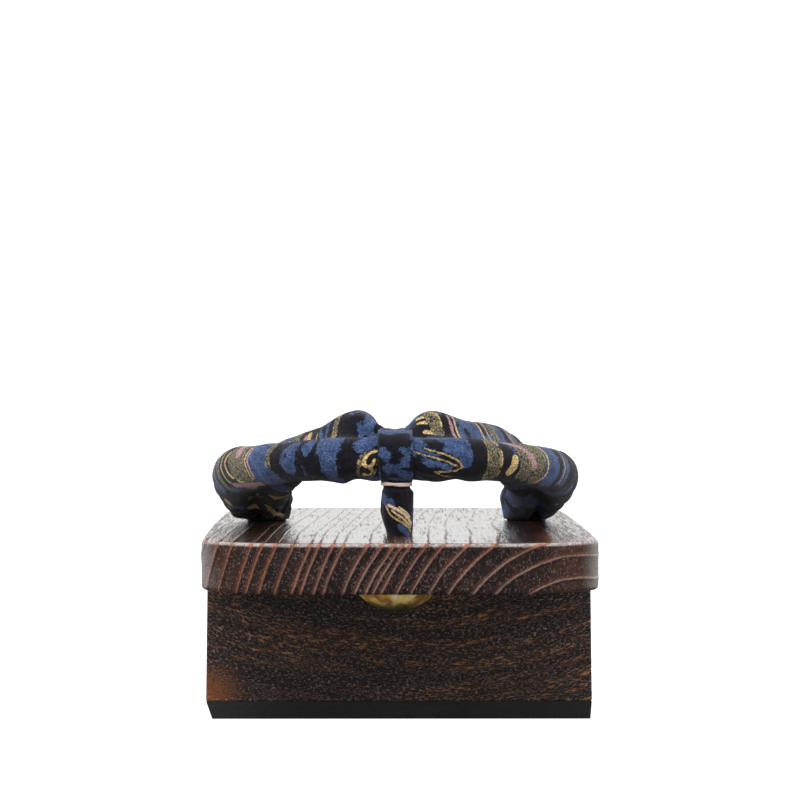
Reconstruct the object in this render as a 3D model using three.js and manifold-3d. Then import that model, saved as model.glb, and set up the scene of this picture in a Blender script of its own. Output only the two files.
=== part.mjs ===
// Geta sandal: a lacquered wooden deck on two cross teeth with rubber soles, held to the foot by
// a padded cloth strap. The strap's two arms run from a front loop, which passes through the deck
// between the toes, out and down to two rear holes. A fluted brass cap covers the front knot.
// Millimetres, +Z up, toe towards -Y, origin on the floor under the middle of the deck.
import * as THREE from 'three';
import { mergeVertices } from 'three/addons/utils/BufferGeometryUtils.js';
import Module from 'manifold-3d';

const wasm = await Module();
wasm.setup();

// Clearance between curved or threaded pieces that meet
const fitGap = 0.3;

// Deck
const deckLength = 250;
const deckToeWidth = 107.4;
const deckHeelTaper = 1.4;
const deckThickness = 13.6;
const deckCornerRadius = 30;
const deckSideBow = 0.6;
const deckEdgeRound = 1.3;

// Teeth under the deck
const toothInset = 0.6;
const toothFlare = 0.4;
const toothThickness = 24;
const toothHeight = 33;
const frontToothFromToe = 64;
const rearToothFromToe = 175;

// Rubber soles on the teeth
const padThickness = 4.9;
const padOuterBevel = 1.7;
const padInnerBevel = 0.4;

// Holes for the strap, measured from the toe edge and from the deck's sides
const frontHoleFromToe = 50;
const rearHoleFromToe = 157;
const rearHoleInset = 15.3;

// Padded strap
const strapInset = 7.5;
const strapRise = 21;
const strapLean = 1.2;
const rollRadius = 6.5;
const neckRadius = 5.8;

// Front loop and its post
const loopBandWidth = 9.5;
const loopWall = 1.3;
const loopEdgeEase = 0.6;
const postTopRadius = 4.4;
const postFootRadius = 3.5;
const postKnotRadius = 6.2;
const postKnotHeight = 4;
const postKnotProfile = [
  { radius: 0.7, depth: 1 },
  { radius: 1, depth: 0.6 },
];
const postKnotShoulder = 0.8;

// Binding thread round the top of the post
const threadHeight = 1.3;
const threadWall = 0.7;

// Brass cap over the front knot, and the cord knots of the rear holes
const capRadius = 11.9;
const capHeight = 7.1;
const capWall = 0.8;
const capShift = -1;
const capFlutes = 16;
const capFluteDepth = 0.35;
const knotRadius = 8.5;
const knotHeight = 8;
const knotProfile = [
  { radius: 0.55, depth: 0.95 },
  { radius: 0.9, depth: 0.75 },
  { radius: 1, depth: 0.45 },
  { radius: 0.9, depth: 0.15 },
  { radius: 0.7, depth: 0 },
];

// Facets: steps along the strap, round each of its rolls and across its crease, and round rods
const strapSteps = 72;
const rollFacets = 6;
const creaseFacets = 6;
const rodSides = 24;
const domeFacets = 6;
const flutePoints = 5;

// Sizes and places that follow from the ones above
const deckHeelWidth = deckToeWidth - 2 * deckHeelTaper;
const toothTopWidth = deckToeWidth - 2 * toothInset;
const toothBottomWidth = toothTopWidth + 2 * toothFlare;
const rearHoleHalfSpan = deckToeWidth / 2 - rearHoleInset;
const strapHalfSpan = deckToeWidth / 2 - strapInset;
const padTop = padThickness;
const toothTop = padTop + toothHeight;
const deckTop = toothTop + deckThickness;
const toeEdge = -deckLength / 2;
const frontHoleY = toeEdge + frontHoleFromToe;
const rearHoleY = toeEdge + rearHoleFromToe;
const strapReach = rearHoleFromToe - frontHoleFromToe;

// One row for each section of an arm, from the middle of the front loop to the rear hole. outer
// and inner are the centres of its two rolls: x as a share of strapHalfSpan, y of strapReach
// behind the front hole and z of strapRise above the deck. right is how much further out and
// higher the right arm's inner roll lies there, and the left arm's further in and lower. roll is
// a share of rollRadius, and waist the depth of the crease between the rolls, as a share of their
// radius.
const armSections = [
  { outer: [0, 0, 1.03], inner: [0, 0.07, 1.05], right: [0, 0], roll: 0.86, waist: 0.05 },
  { outer: [0.13, 0.003, 1.01], inner: [0.11, 0.085, 1.15], right: [0, 0], roll: 0.95, waist: 0.3 },
  { outer: [0.32, 0.02, 1], inner: [0.22, 0.115, 1.32], right: [0, 0], roll: 0.97, waist: 0.5 },
  { outer: [0.56, 0.065, 0.965], inner: [0.4, 0.17, 1.18], right: [0, 0.03], roll: 0.88, waist: 0.5 },
  { outer: [0.8, 0.17, 0.885], inner: [0.565, 0.27, 1.08], right: [0, 0.07], roll: 0.87, waist: 0.45 },
  { outer: [0.945, 0.32, 0.8], inner: [0.68, 0.39, 0.9], right: [0, 0.07], roll: 0.9, waist: 0.4 },
  { outer: [0.993, 0.505, 0.69], inner: [0.755, 0.54, 0.75], right: [0.015, 0.03], roll: 0.96, waist: 0.35 },
  { outer: [0.993, 0.68, 0.57], inner: [0.81, 0.7, 0.59], right: [0.025, 0], roll: 1, waist: 0.3 },
  { outer: [0.957, 0.84, 0.44], inner: [0.835, 0.85, 0.44], right: [0.02, 0], roll: 1, waist: 0.25 },
  { outer: [0.9, 0.945, 0.3], inner: [0.82, 0.945, 0.29], right: [0.005, 0], roll: 1, waist: 0.2 },
  { outer: [0.86, 0.99, 0.15], inner: [0.815, 0.99, 0.13], right: [0, 0], roll: 0.98, waist: 0.1 },
];

// A mesh's solid, with its shared corners merged
function solidOf(geometry) {
  const bare = geometry.clone();
  bare.deleteAttribute('normal');
  bare.deleteAttribute('uv');
  const merged = mergeVertices(bare, 1e-3);
  return new wasm.Manifold(new wasm.Mesh({
    numProp: 3,
    vertProperties: new Float32Array(merged.attributes.position.array),
    triVerts: new Uint32Array(merged.index.array),
  }));
}

// A solid's mesh geometry
function geometryOf(solid) {
  const mesh = solid.getMesh();
  const geometry = new THREE.BufferGeometry();
  geometry.setAttribute('position', new THREE.BufferAttribute(mesh.vertProperties, 3));
  geometry.setIndex(new THREE.BufferAttribute(mesh.triVerts, 1));
  geometry.computeVertexNormals();
  return geometry;
}

// Upright cylinder that runs from one height to another
function uprightRod(radius, low, high, x, y, sides) {
  const rod = new THREE.CylinderGeometry(radius, radius, high - low, sides);
  rod.rotateX(Math.PI / 2);
  rod.translate(x, y, (low + high) / 2);
  return rod;
}

// Turned solid about an upright axis, from rows of radius and height
function turned(profile, sides) {
  const points = profile.map(([radius, height]) => new THREE.Vector2(radius, height));
  const lathe = new THREE.LatheGeometry(points, sides);
  lathe.rotateX(Math.PI / 2);
  return lathe;
}

// Closed skin over rings of points, capped at both ends by a fan about each ring's middle
function loftedSkin(rings) {
  const sides = rings[0].length;
  const positions = rings.flat().flatMap((point) => [point.x, point.y, point.z]);
  const faces = [];
  for (let ring = 0; ring < rings.length - 1; ring += 1) {
    for (let side = 0; side < sides; side += 1) {
      const next = (side + 1) % sides;
      const here = ring * sides;
      const there = here + sides;
      faces.push(here + side, there + side, there + next);
      faces.push(here + side, there + next, here + next);
    }
  }
  const lastRing = (rings.length - 1) * sides;
  for (const [start, flipped] of [[0, false], [lastRing, true]]) {
    const middle = new THREE.Vector3();
    for (let side = 0; side < sides; side += 1) {
      middle.add(rings[start / sides][side]);
    }
    middle.divideScalar(sides);
    const hub = positions.length / 3;
    positions.push(middle.x, middle.y, middle.z);
    for (let side = 0; side < sides; side += 1) {
      const next = (side + 1) % sides;
      const rim = flipped ? [start + next, start + side] : [start + side, start + next];
      faces.push(hub, ...rim);
    }
  }
  const geometry = new THREE.BufferGeometry();
  geometry.setAttribute('position', new THREE.Float32BufferAttribute(positions, 3));
  geometry.setIndex(faces);
  return geometry;
}

// Deck: a rounded board in plan, a little narrower at the heel, with bowed sides and eased edges
function deckGeometry() {
  const halfLength = deckLength / 2;
  const radius = deckCornerRadius;
  const toe = deckToeWidth / 2;
  const heel = deckHeelWidth / 2;
  const side = (toe + heel) / 2 + 2 * deckSideBow;
  const toeY = -halfLength + radius;
  const heelY = halfLength - radius;
  const turn = Math.PI / 2;
  const outline = new THREE.Shape();
  outline.moveTo(-toe + radius, -halfLength);
  outline.lineTo(toe - radius, -halfLength);
  outline.absarc(toe - radius, toeY, radius, -turn, 0);
  outline.quadraticCurveTo(side, 0, heel, heelY);
  outline.absarc(heel - radius, heelY, radius, 0, turn);
  outline.lineTo(-heel + radius, halfLength);
  outline.absarc(-heel + radius, heelY, radius, turn, 2 * turn);
  outline.quadraticCurveTo(-side, 0, -toe, toeY);
  outline.absarc(-toe + radius, toeY, radius, 2 * turn, 3 * turn);
  const slab = new THREE.ExtrudeGeometry(outline, {
    depth: deckThickness - 2 * deckEdgeRound,
    bevelThickness: deckEdgeRound,
    bevelSize: deckEdgeRound,
    bevelOffset: -deckEdgeRound,
    bevelSegments: 3,
    curveSegments: 10,
  });
  slab.translate(0, 0, toothTop + deckEdgeRound);
  let solid = solidOf(slab);
  const holes = [
    [postFootRadius, 0, frontHoleY],
    [neckRadius, -rearHoleHalfSpan, rearHoleY],
    [neckRadius, rearHoleHalfSpan, rearHoleY],
  ];
  for (const [radiusInside, x, y] of holes) {
    const drill = uprightRod(radiusInside + fitGap, toothTop - 1, deckTop + 1, x, y, rodSides);
    solid = solid.subtract(solidOf(drill));
  }
  return geometryOf(solid);
}

// Tooth: a block a little wider at its foot than under the deck
function toothGeometry() {
  const face = new THREE.Shape();
  face.moveTo(-toothBottomWidth / 2, padTop);
  face.lineTo(toothBottomWidth / 2, padTop);
  face.lineTo(toothTopWidth / 2, toothTop);
  face.lineTo(-toothTopWidth / 2, toothTop);
  const block = new THREE.ExtrudeGeometry(face, { depth: toothThickness, bevelEnabled: false });
  block.rotateX(Math.PI / 2);
  block.translate(0, toothThickness, 0);
  return block;
}

// Rubber sole of a tooth, with its ends cut inwards towards the floor
function padGeometry() {
  const halfWidth = toothBottomWidth / 2;
  const face = new THREE.Shape();
  face.moveTo(-halfWidth + padOuterBevel, 0);
  face.lineTo(halfWidth - padInnerBevel, 0);
  face.lineTo(halfWidth, padTop);
  face.lineTo(-halfWidth, padTop);
  const slab = new THREE.ExtrudeGeometry(face, { depth: toothThickness, bevelEnabled: false });
  slab.rotateX(Math.PI / 2);
  slab.translate(0, toothThickness, 0);
  return slab;
}

// Points of an oval with a waist: two round rolls side by side with a crease between them
function waistedOval(halfWidth, roll, waist) {
  const spread = halfWidth - roll;
  const half = [];
  for (let step = 0; step <= rollFacets; step += 1) {
    const angle = (step / rollFacets - 0.5) * Math.PI;
    half.push([spread + roll * Math.cos(angle), roll * Math.sin(angle)]);
  }
  for (let step = 1; step < creaseFacets; step += 1) {
    const share = 1 - (2 * step) / creaseFacets;
    const crease = 1 - waist * Math.cos(share * Math.PI / 2) ** 2;
    half.push([spread * share, roll * crease]);
  }
  return [...half, ...half.map(([a, b]) => [-a, -b])];
}

// An arm's rows as places: both rolls' centres, roll radius and crease. side is 1 for the right
// arm and -1 for the left.
function armRows(side) {
  const place = (x, y, z) => new THREE.Vector3(
    side * x * strapHalfSpan,
    frontHoleY + y * strapReach,
    deckTop + z * strapRise,
  );
  const rows = armSections.map((row) => ({
    outer: place(...row.outer),
    inner: place(
      row.inner[0] + side * row.right[0],
      row.inner[1],
      row.inner[2] + side * row.right[1],
    ),
    roll: row.roll * rollRadius,
    waist: row.waist,
  }));
  const halfNeck = neckRadius / 10;
  const mouthRise = neckRadius / 4;
  for (const height of [deckTop + mouthRise, deckTop - deckThickness / 2, toothTop]) {
    rows.push({
      outer: new THREE.Vector3(side * (rearHoleHalfSpan + halfNeck), rearHoleY, height),
      inner: new THREE.Vector3(side * (rearHoleHalfSpan - halfNeck), rearHoleY, height),
      roll: neckRadius - halfNeck,
      waist: 0,
    });
  }
  return rows;
}

// The strap's rows from the left rear hole to the right one
function strapRows() {
  return [...armRows(-1).slice(1).reverse(), ...armRows(1)];
}

// The row in the middle of the front loop
function middleRow() {
  return armRows(1)[0];
}

// Everything above the deck leans a little to the left, all of it above the strap's height
function leaned(geometry) {
  const place = geometry.attributes.position;
  for (let index = 0; index < place.count; index += 1) {
    const rise = THREE.MathUtils.clamp((place.getZ(index) - deckTop) / strapRise, 0, 1);
    place.setX(index, place.getX(index) - strapLean * rise);
  }
  return geometry;
}

// The waisted oval carried along the two rolls' centre lines, grown by extra on all sides
function strapSkin(extra) {
  const rows = strapRows();
  const outerLine = new THREE.CatmullRomCurve3(rows.map((row) => row.outer));
  const innerLine = new THREE.CatmullRomCurve3(rows.map((row) => row.inner));
  const rings = [];
  for (let step = 0; step <= strapSteps; step += 1) {
    const share = step / strapSteps;
    const place = share * (rows.length - 1);
    const before = Math.min(Math.floor(place), rows.length - 2);
    const blend = place - before;
    const roll = THREE.MathUtils.lerp(rows[before].roll, rows[before + 1].roll, blend) + extra;
    const waist = THREE.MathUtils.lerp(rows[before].waist, rows[before + 1].waist, blend);
    const outer = outerLine.getPoint(share);
    const inner = innerLine.getPoint(share);
    const across = inner.clone().sub(outer);
    const halfWidth = across.length() / 2 + roll;
    across.normalize();
    const ahead = outerLine.getTangent(share).add(innerLine.getTangent(share)).normalize();
    const up = across.clone().cross(ahead).normalize();
    const middle = outer.clone().add(inner).divideScalar(2);
    rings.push(waistedOval(halfWidth, roll, waist).map(([a, b]) => (
      middle.clone().addScaledVector(across, a).addScaledVector(up, b)
    )));
  }
  return loftedSkin(rings);
}

// Strap: its skin, cut flat where it rests on the deck and round where it enters the rear holes
function strapGeometry() {
  const floor = deckTop + fitGap;
  const slab = new THREE.BoxGeometry(deckToeWidth, deckLength, deckThickness + fitGap);
  slab.translate(0, 0, floor - (deckThickness + fitGap) / 2);
  let board = solidOf(slab);
  for (const x of [-rearHoleHalfSpan, rearHoleHalfSpan]) {
    const neck = uprightRod(neckRadius, toothTop - 1, floor + 1, x, rearHoleY, rodSides);
    board = board.subtract(solidOf(neck));
  }
  return leaned(geometryOf(solidOf(strapSkin(0)).subtract(board)));
}

// Front loop: a band round the middle of the strap, gathered into a post that goes down through
// the deck and ends in a knot below it
function frontLoopGeometry() {
  const row = middleRow();
  const roll = row.roll + fitGap + loopWall;
  const across = row.inner.clone().sub(row.outer);
  const halfWidth = across.length() / 2 + roll;
  const middle = row.inner.clone().add(row.outer).divideScalar(2);
  const tilt = Math.atan2(across.z, across.y);
  const outline = new THREE.Shape(waistedOval(halfWidth, roll, 0).map(([a, b]) => (
    new THREE.Vector2(
      middle.y + a * Math.cos(tilt) - b * Math.sin(tilt),
      middle.z + a * Math.sin(tilt) + b * Math.cos(tilt),
    )
  )));
  const band = new THREE.ExtrudeGeometry(outline, {
    depth: loopBandWidth - 2 * loopEdgeEase,
    bevelThickness: loopEdgeEase,
    bevelSize: loopEdgeEase,
    bevelOffset: -loopEdgeEase,
    bevelSegments: 2,
  });
  band.translate(0, 0, loopEdgeEase - loopBandWidth / 2);
  band.rotateY(Math.PI / 2);
  band.rotateX(Math.PI / 2);
  const bandFoot = row.outer.z - roll;
  const neckTop = bandFoot - fitGap;
  const neckFoot = neckTop - threadHeight;
  const neckInside = postTopRadius - threadWall;
  const underside = toothTop;
  const post = turned([
    [0, underside - postKnotHeight],
    ...postKnotProfile.map((row) => [
      row.radius * postKnotRadius,
      underside - row.depth * postKnotHeight,
    ]),
    [postKnotShoulder * postKnotRadius, underside - fitGap],
    [postFootRadius, underside - fitGap],
    [postFootRadius, deckTop + fitGap],
    [(postFootRadius + postTopRadius) / 2, (deckTop + neckFoot) / 2],
    [postTopRadius, neckFoot - 2 * fitGap],
    [neckInside - fitGap, neckFoot - fitGap],
    [neckInside - fitGap, bandFoot],
    [postTopRadius, bandFoot + loopWall],
    [postTopRadius, bandFoot + 2 * loopWall],
    [0, bandFoot + 2 * loopWall],
  ], rodSides);
  post.translate(0, frontHoleY, 0);
  const strapRoom = solidOf(strapSkin(fitGap));
  return leaned(geometryOf(solidOf(band).add(solidOf(post)).subtract(strapRoom)));
}

// Binding thread: a ring in the groove at the top of the post
function threadGeometry() {
  const top = middleRow().outer.z - middleRow().roll - 2 * fitGap - loopWall;
  const inside = postTopRadius - threadWall;
  const outside = postTopRadius + threadWall / 2;
  const ring = turned([
    [inside, top - threadHeight],
    [outside, top - threadHeight],
    [outside + threadWall / 4, top - threadHeight / 2],
    [outside, top],
    [inside, top],
    [inside, top - threadHeight],
  ], rodSides);
  ring.translate(0, frontHoleY, 0);
  return leaned(ring);
}

// Rows of a dome's profile, a circle's arc from the tip below to the rim at height 0
function domeProfile(radius, height) {
  const arc = (radius ** 2 + height ** 2) / (2 * height);
  const sweep = Math.asin(radius / arc);
  const rows = [];
  for (let step = 0; step < domeFacets; step += 1) {
    const angle = (step / domeFacets) * sweep;
    rows.push([arc * Math.sin(angle), arc * (1 - Math.cos(angle)) - height]);
  }
  return [...rows, [radius, 0]];
}

// Brass cap: a thin fluted dome hung from the deck's underside over the front knot
function capGeometry() {
  const outside = domeProfile(capRadius, capHeight);
  const inside = domeProfile(capRadius - capWall, capHeight - capWall).reverse();
  const shell = turned([...outside, ...inside], capFlutes * flutePoints);
  const place = shell.attributes.position;
  for (let index = 0; index < place.count; index += 1) {
    const x = place.getX(index);
    const y = place.getY(index);
    const rimShare = Math.hypot(x, y) / capRadius;
    const flute = capFluteDepth * Math.cos(capFlutes * Math.atan2(y, x)) * rimShare;
    const swell = 1 + flute / capRadius;
    place.setXY(index, x * swell, y * swell);
  }
  return shell;
}

// Knot of the strap's cord under a rear hole
function rearKnotGeometry() {
  const top = toothTop - fitGap;
  return turned([
    [0, top - knotHeight],
    ...knotProfile.map((row) => [row.radius * knotRadius, top - row.depth * knotHeight]),
    [0, top],
  ], rodSides);
}

function finish(color, roughness, metalness) {
  return new THREE.MeshStandardMaterial({ color, roughness, metalness });
}

const deckLacquer = finish('#4a2c22', 0.2, 0);
const burnedWood = finish('#2c1a16', 0.6, 0);
const soleRubber = finish('#262626', 0.9, 0);
const printedCloth = finish('#2b3650', 0.85, 0);
const paleThread = finish('#cdb4a5', 0.8, 0);
const capBrass = finish('#b08c3a', 0.35, 0.9);
const knotCord = finish('#26242c', 0.9, 0);

const sandal = new THREE.Group();

function add(name, geometry, material, x = 0, y = 0, z = 0) {
  const mesh = new THREE.Mesh(geometry, material);
  mesh.name = name;
  mesh.position.set(x, y, z);
  sandal.add(mesh);
}

add('deck', deckGeometry(), deckLacquer);
add('front_tooth', toothGeometry(), burnedWood, 0, toeEdge + frontToothFromToe);
add('rear_tooth', toothGeometry(), burnedWood, 0, toeEdge + rearToothFromToe);
add('front_sole_pad', padGeometry(), soleRubber, 0, toeEdge + frontToothFromToe);
add('rear_sole_pad', padGeometry(), soleRubber, 0, toeEdge + rearToothFromToe);
add('hanao_strap', strapGeometry(), printedCloth);
add('front_loop', frontLoopGeometry(), printedCloth);
add('binding_thread', threadGeometry(), paleThread);
add('knot_cap', capGeometry(), capBrass, capShift, frontHoleY, toothTop);
add('rear_knot_left', rearKnotGeometry(), knotCord, -rearHoleHalfSpan, rearHoleY);
add('rear_knot_right', rearKnotGeometry(), knotCord, rearHoleHalfSpan, rearHoleY);

export default sandal;
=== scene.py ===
"""Geta sandal: the finish of every surface, laid out as an add-on and run as a script.

Lengths in the tables are millimetres in the sandal's own frame: toe towards -Y, floor at zero
height. Meshes are written in metres.
"""

import bpy
import numpy as np
from bpy.props import FloatProperty, FloatVectorProperty, PointerProperty
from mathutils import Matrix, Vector


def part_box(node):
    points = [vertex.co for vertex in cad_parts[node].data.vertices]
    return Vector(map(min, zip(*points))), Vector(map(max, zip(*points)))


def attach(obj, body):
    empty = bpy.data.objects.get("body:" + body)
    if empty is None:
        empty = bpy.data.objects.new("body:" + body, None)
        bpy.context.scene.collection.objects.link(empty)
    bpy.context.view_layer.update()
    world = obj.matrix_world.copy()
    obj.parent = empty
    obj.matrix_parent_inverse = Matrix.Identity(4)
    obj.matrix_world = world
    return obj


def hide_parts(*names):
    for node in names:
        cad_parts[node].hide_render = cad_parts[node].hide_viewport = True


bl_info = {
    "name": "Geta Sandal",
    "version": (1, 0, 0),
    "blender": (4, 5, 0),
    "location": "View3D > Sidebar > Geta",
    "description": "Builds a lacquered wooden geta sandal with a padded printed strap",
    "category": "Add Mesh",
}

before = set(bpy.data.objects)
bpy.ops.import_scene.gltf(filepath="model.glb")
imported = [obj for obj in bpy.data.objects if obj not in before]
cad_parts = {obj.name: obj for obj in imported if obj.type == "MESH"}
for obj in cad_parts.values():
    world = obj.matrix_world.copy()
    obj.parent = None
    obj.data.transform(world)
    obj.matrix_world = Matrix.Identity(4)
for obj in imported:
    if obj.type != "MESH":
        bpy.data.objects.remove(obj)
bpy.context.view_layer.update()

METRE = 1000.0


def node_box(name):
    """Lowest and highest corners of a CAD node, in millimetres."""
    low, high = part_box(name)
    return np.array(low) * METRE, np.array(high) * METRE


# Deck, from its solid and the sizes that the solid was made with
DECK_LOW, DECK_HIGH = node_box("deck")
DECK_TOP = DECK_HIGH[2]
DECK_UNDER = DECK_LOW[2]
TOE_EDGE = DECK_LOW[1]
HALF_LENGTH = DECK_HIGH[1]
TOE_HALF_WIDTH = 53.7
HEEL_HALF_WIDTH = 52.3
SIDE_BOW = 54.2
CORNER_RADIUS = 30.0
EDGE_ROUND = 1.3

# Strap: the same rows as the solid has, as shares of its span, reach and rise
FRONT_HOLE_Y = TOE_EDGE + 50.0
REAR_HOLE_Y = TOE_EDGE + 157.0
REAR_HOLE_X = 38.4
STRAP_HALF_SPAN = 46.2
STRAP_REACH = REAR_HOLE_Y - FRONT_HOLE_Y
STRAP_RISE = 21.0
STRAP_LEAN = 1.2
ROLL_RADIUS = 6.5
NECK_RADIUS = 5.8
# Outer roll's x, y, z, inner roll's x, y, z, how much further out and higher the right arm's inner
# roll lies, radius and crease
ARM_SECTIONS = np.array([
    (0, 0, 1.03, 0, 0.07, 1.05, 0, 0, 0.86, 0.05),
    (0.13, 0.003, 1.01, 0.11, 0.085, 1.15, 0, 0, 0.95, 0.3),
    (0.32, 0.02, 1, 0.22, 0.115, 1.32, 0, 0, 0.97, 0.5),
    (0.56, 0.065, 0.965, 0.4, 0.17, 1.18, 0, 0.03, 0.88, 0.5),
    (0.8, 0.17, 0.885, 0.565, 0.27, 1.08, 0, 0.07, 0.87, 0.45),
    (0.945, 0.32, 0.8, 0.68, 0.39, 0.9, 0, 0.07, 0.9, 0.4),
    (0.993, 0.505, 0.69, 0.755, 0.54, 0.75, 0.015, 0.03, 0.96, 0.35),
    (0.993, 0.68, 0.57, 0.81, 0.7, 0.59, 0.025, 0, 1, 0.3),
    (0.957, 0.84, 0.44, 0.835, 0.85, 0.44, 0.02, 0, 1, 0.25),
    (0.9, 0.945, 0.3, 0.82, 0.945, 0.29, 0.005, 0, 1, 0.2),
    (0.86, 0.99, 0.15, 0.815, 0.99, 0.13, 0, 0, 0.98, 0.1),
])

# Growth rings of the deck's plank: where its pith lies at the toe, how it drifts along the plank,
# and the radii of the raised rings with the half width of their ridges
PITH_X = 48.5
PITH_Z = DECK_TOP - 37.0
PITH_DRIFT = 0.015
PITH_BEND = 0.00012
PITH_RISE = 0.012
RIDGE_WIDTH = 0.42
RING_RADII = np.array([
    5, 10, 15.5, 21, 27, 33, 37.5, 43, 47.5, 52, 55.5, 59, 60.7, 62.3, 64.7, 67.5, 73, 75.4,
    79, 81, 85.4, 89.4, 92.6, 95, 100.2, 104, 108, 112, 117,
])


# Shapes and meshes

def ramp(value, start, end):
    """Share that grows from 0 at start to 1 at end."""
    return np.clip((value - start) / (end - start), 0, 1)


def bell(value, centre, width):
    """A bell curve of height 1 about its centre."""
    return np.exp(-((value - centre) / width) ** 2)


def stacked(*arrays):
    """Arrays broadcast to one shape and stacked as coordinates."""
    return np.stack(np.broadcast_arrays(*arrays), axis=-1)


def new_piece(name, points, faces, nodes, slot, corner_uv=None, values=None, normals=None):
    """A smooth mesh from points in millimetres and blocks of faces, which stands for CAD nodes."""
    mesh = bpy.data.meshes.new(name)
    rows = [row for block in faces for row in block.tolist()]
    mesh.from_pydata((points / METRE).tolist(), [], rows)
    mesh.shade_smooth()
    if corner_uv is not None:
        layer = mesh.uv_layers.new(name="cloth_mm")
        layer.data.foreach_set("uv", np.ascontiguousarray(corner_uv, dtype=np.float32).ravel())
    for key, numbers in (values or {}).items():
        attribute = mesh.attributes.new(key, "FLOAT", "POINT")
        attribute.data.foreach_set("value", np.ascontiguousarray(numbers, dtype=np.float32).ravel())
    mesh.materials.append(finish_of(slot))
    mesh.update()
    if normals is not None:
        mesh.normals_split_custom_set_from_vertices(normals.tolist())
    piece = bpy.data.objects.new(name, mesh)
    bpy.context.scene.collection.objects.link(piece)
    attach(piece, "root")
    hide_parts(*nodes)
    return piece


def grid_faces(rows, columns, wrap_rows=False, wrap_columns=False, start=0):
    """Quads between neighbours of a grid of points, closed round where it wraps."""
    i, j = np.indices((rows - (not wrap_rows), columns - (not wrap_columns)))
    next_i = (i + 1) % rows
    next_j = (j + 1) % columns
    corners = [i * columns + j, next_i * columns + j, next_i * columns + next_j, i * columns + next_j]
    return np.stack(corners, axis=-1).reshape(-1, 4) + start


def grid_uv(along, around):
    """Corner values for the faces of a grid: along by row, around by column with its closing value."""
    i, j = np.indices((len(along) - 1, len(around) - 1))
    pairs = [(i, j), (i + 1, j), (i + 1, j + 1), (i, j + 1)]
    return np.stack([stacked(along[a], around[b]) for a, b in pairs], axis=2).reshape(-1, 2)


def disc_cap(ring, centre, flipped):
    """Triangles from a ring of point numbers to a centre point."""
    following = np.roll(ring, -1)
    hub = np.full_like(ring, centre)
    order = (hub, following, ring) if flipped else (hub, ring, following)
    return np.stack(order, axis=-1)


def closed_tube(grid, tips, inside_out, start=0):
    """Points and faces of a grid whose rows are rings, with a fan of triangles to a tip at each end."""
    rows, sides = grid.shape[:2]
    points = np.vstack([grid.reshape(-1, 3), tips])
    walls = grid_faces(rows, sides, wrap_columns=True, start=start)
    first = np.arange(sides) + start
    last = first + sides * (rows - 1)
    hub = start + rows * sides
    fans = [disc_cap(first, hub, inside_out), disc_cap(last, hub + 1, not inside_out)]
    return points, [walls[:, ::-1] if inside_out else walls] + fans


def ring_middles(grid):
    """Middles of a grid's first and last ring."""
    return [grid[0].mean(axis=0), grid[-1].mean(axis=0)]


def smooth_curve(points, place):
    """Centripetal Catmull-Rom curve through the points, at places counted in points."""
    first = 2 * points[0] - points[1]
    last = 2 * points[-1] - points[-2]
    padded = np.vstack([first, points, last])
    index = np.minimum(place.astype(int), len(points) - 2)
    t = (place - index)[:, None]
    p0, p1, p2, p3 = (padded[index + k] for k in range(4))
    gap = [np.maximum(np.linalg.norm(b - a, axis=1), 1e-6)[:, None] ** 0.5
           for a, b in ((p0, p1), (p1, p2), (p2, p3))]
    start = (p1 - p0) / gap[0] - (p2 - p0) / (gap[0] + gap[1]) + (p2 - p1) / gap[1]
    end = (p2 - p1) / gap[1] - (p3 - p1) / (gap[1] + gap[2]) + (p3 - p2) / gap[2]
    start = start * gap[1]
    end = end * gap[1]
    hermite = [2 * t**3 - 3 * t**2 + 1, t**3 - 2 * t**2 + t, -2 * t**3 + 3 * t**2, t**3 - t**2]
    return hermite[0] * p1 + hermite[1] * start + hermite[2] * p2 + hermite[3] * end


LATTICE = 128


def lattice_noise(x, y, seed):
    """Smooth noise from -1 to 1: random numbers on a square lattice, eased between."""
    table = np.random.RandomState(seed).uniform(-1, 1, (LATTICE, LATTICE))
    x0 = np.floor(x).astype(int)
    y0 = np.floor(y).astype(int)
    fx, fy = (share * share * (3 - 2 * share) for share in (x - x0, y - y0))
    corner = [table[(x0 + a) % LATTICE, (y0 + b) % LATTICE] for a in (0, 1) for b in (0, 1)]
    low = corner[0] * (1 - fy) + corner[1] * fy
    high = corner[2] * (1 - fy) + corner[3] * fy
    return low * (1 - fx) + high * fx


def leaned(points):
    """Shifts what is above the deck a little to the left, up to the strap's height."""
    moved = points.copy()
    moved[..., 0] -= STRAP_LEAN * ramp(points[..., 2], DECK_TOP, DECK_TOP + STRAP_RISE)
    return moved


# Deck

DECK_COLUMNS = 141
CORNER_ROWS = 70
SIDE_ROWS = 110
WALL_ROWS = 13
ROUND_ROWS = 4
END_RELIEF = 0.16
TOP_RELIEF = 0.035
RELIEF_LEVEL = 0.6


def deck_half_width(y, inset):
    """Half width at y: a circle's arc at the corners, a parabola along the sides."""
    corner_y = HALF_LENGTH - CORNER_RADIUS
    share = (y / corner_y + 1) / 2
    side = ((1 - share) ** 2 * TOE_HALF_WIDTH + 2 * share * (1 - share) * SIDE_BOW
            + share**2 * HEEL_HALF_WIDTH) - inset
    radius = CORNER_RADIUS - inset
    reach = np.sqrt(np.maximum(radius**2 - np.maximum(np.abs(y) - corner_y, 0) ** 2, 0))
    toe_arc = TOE_HALF_WIDTH - CORNER_RADIUS + reach
    heel_arc = HEEL_HALF_WIDTH - CORNER_RADIUS + reach
    return np.where(y < -corner_y, toe_arc, np.where(y > corner_y, heel_arc, side))


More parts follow.
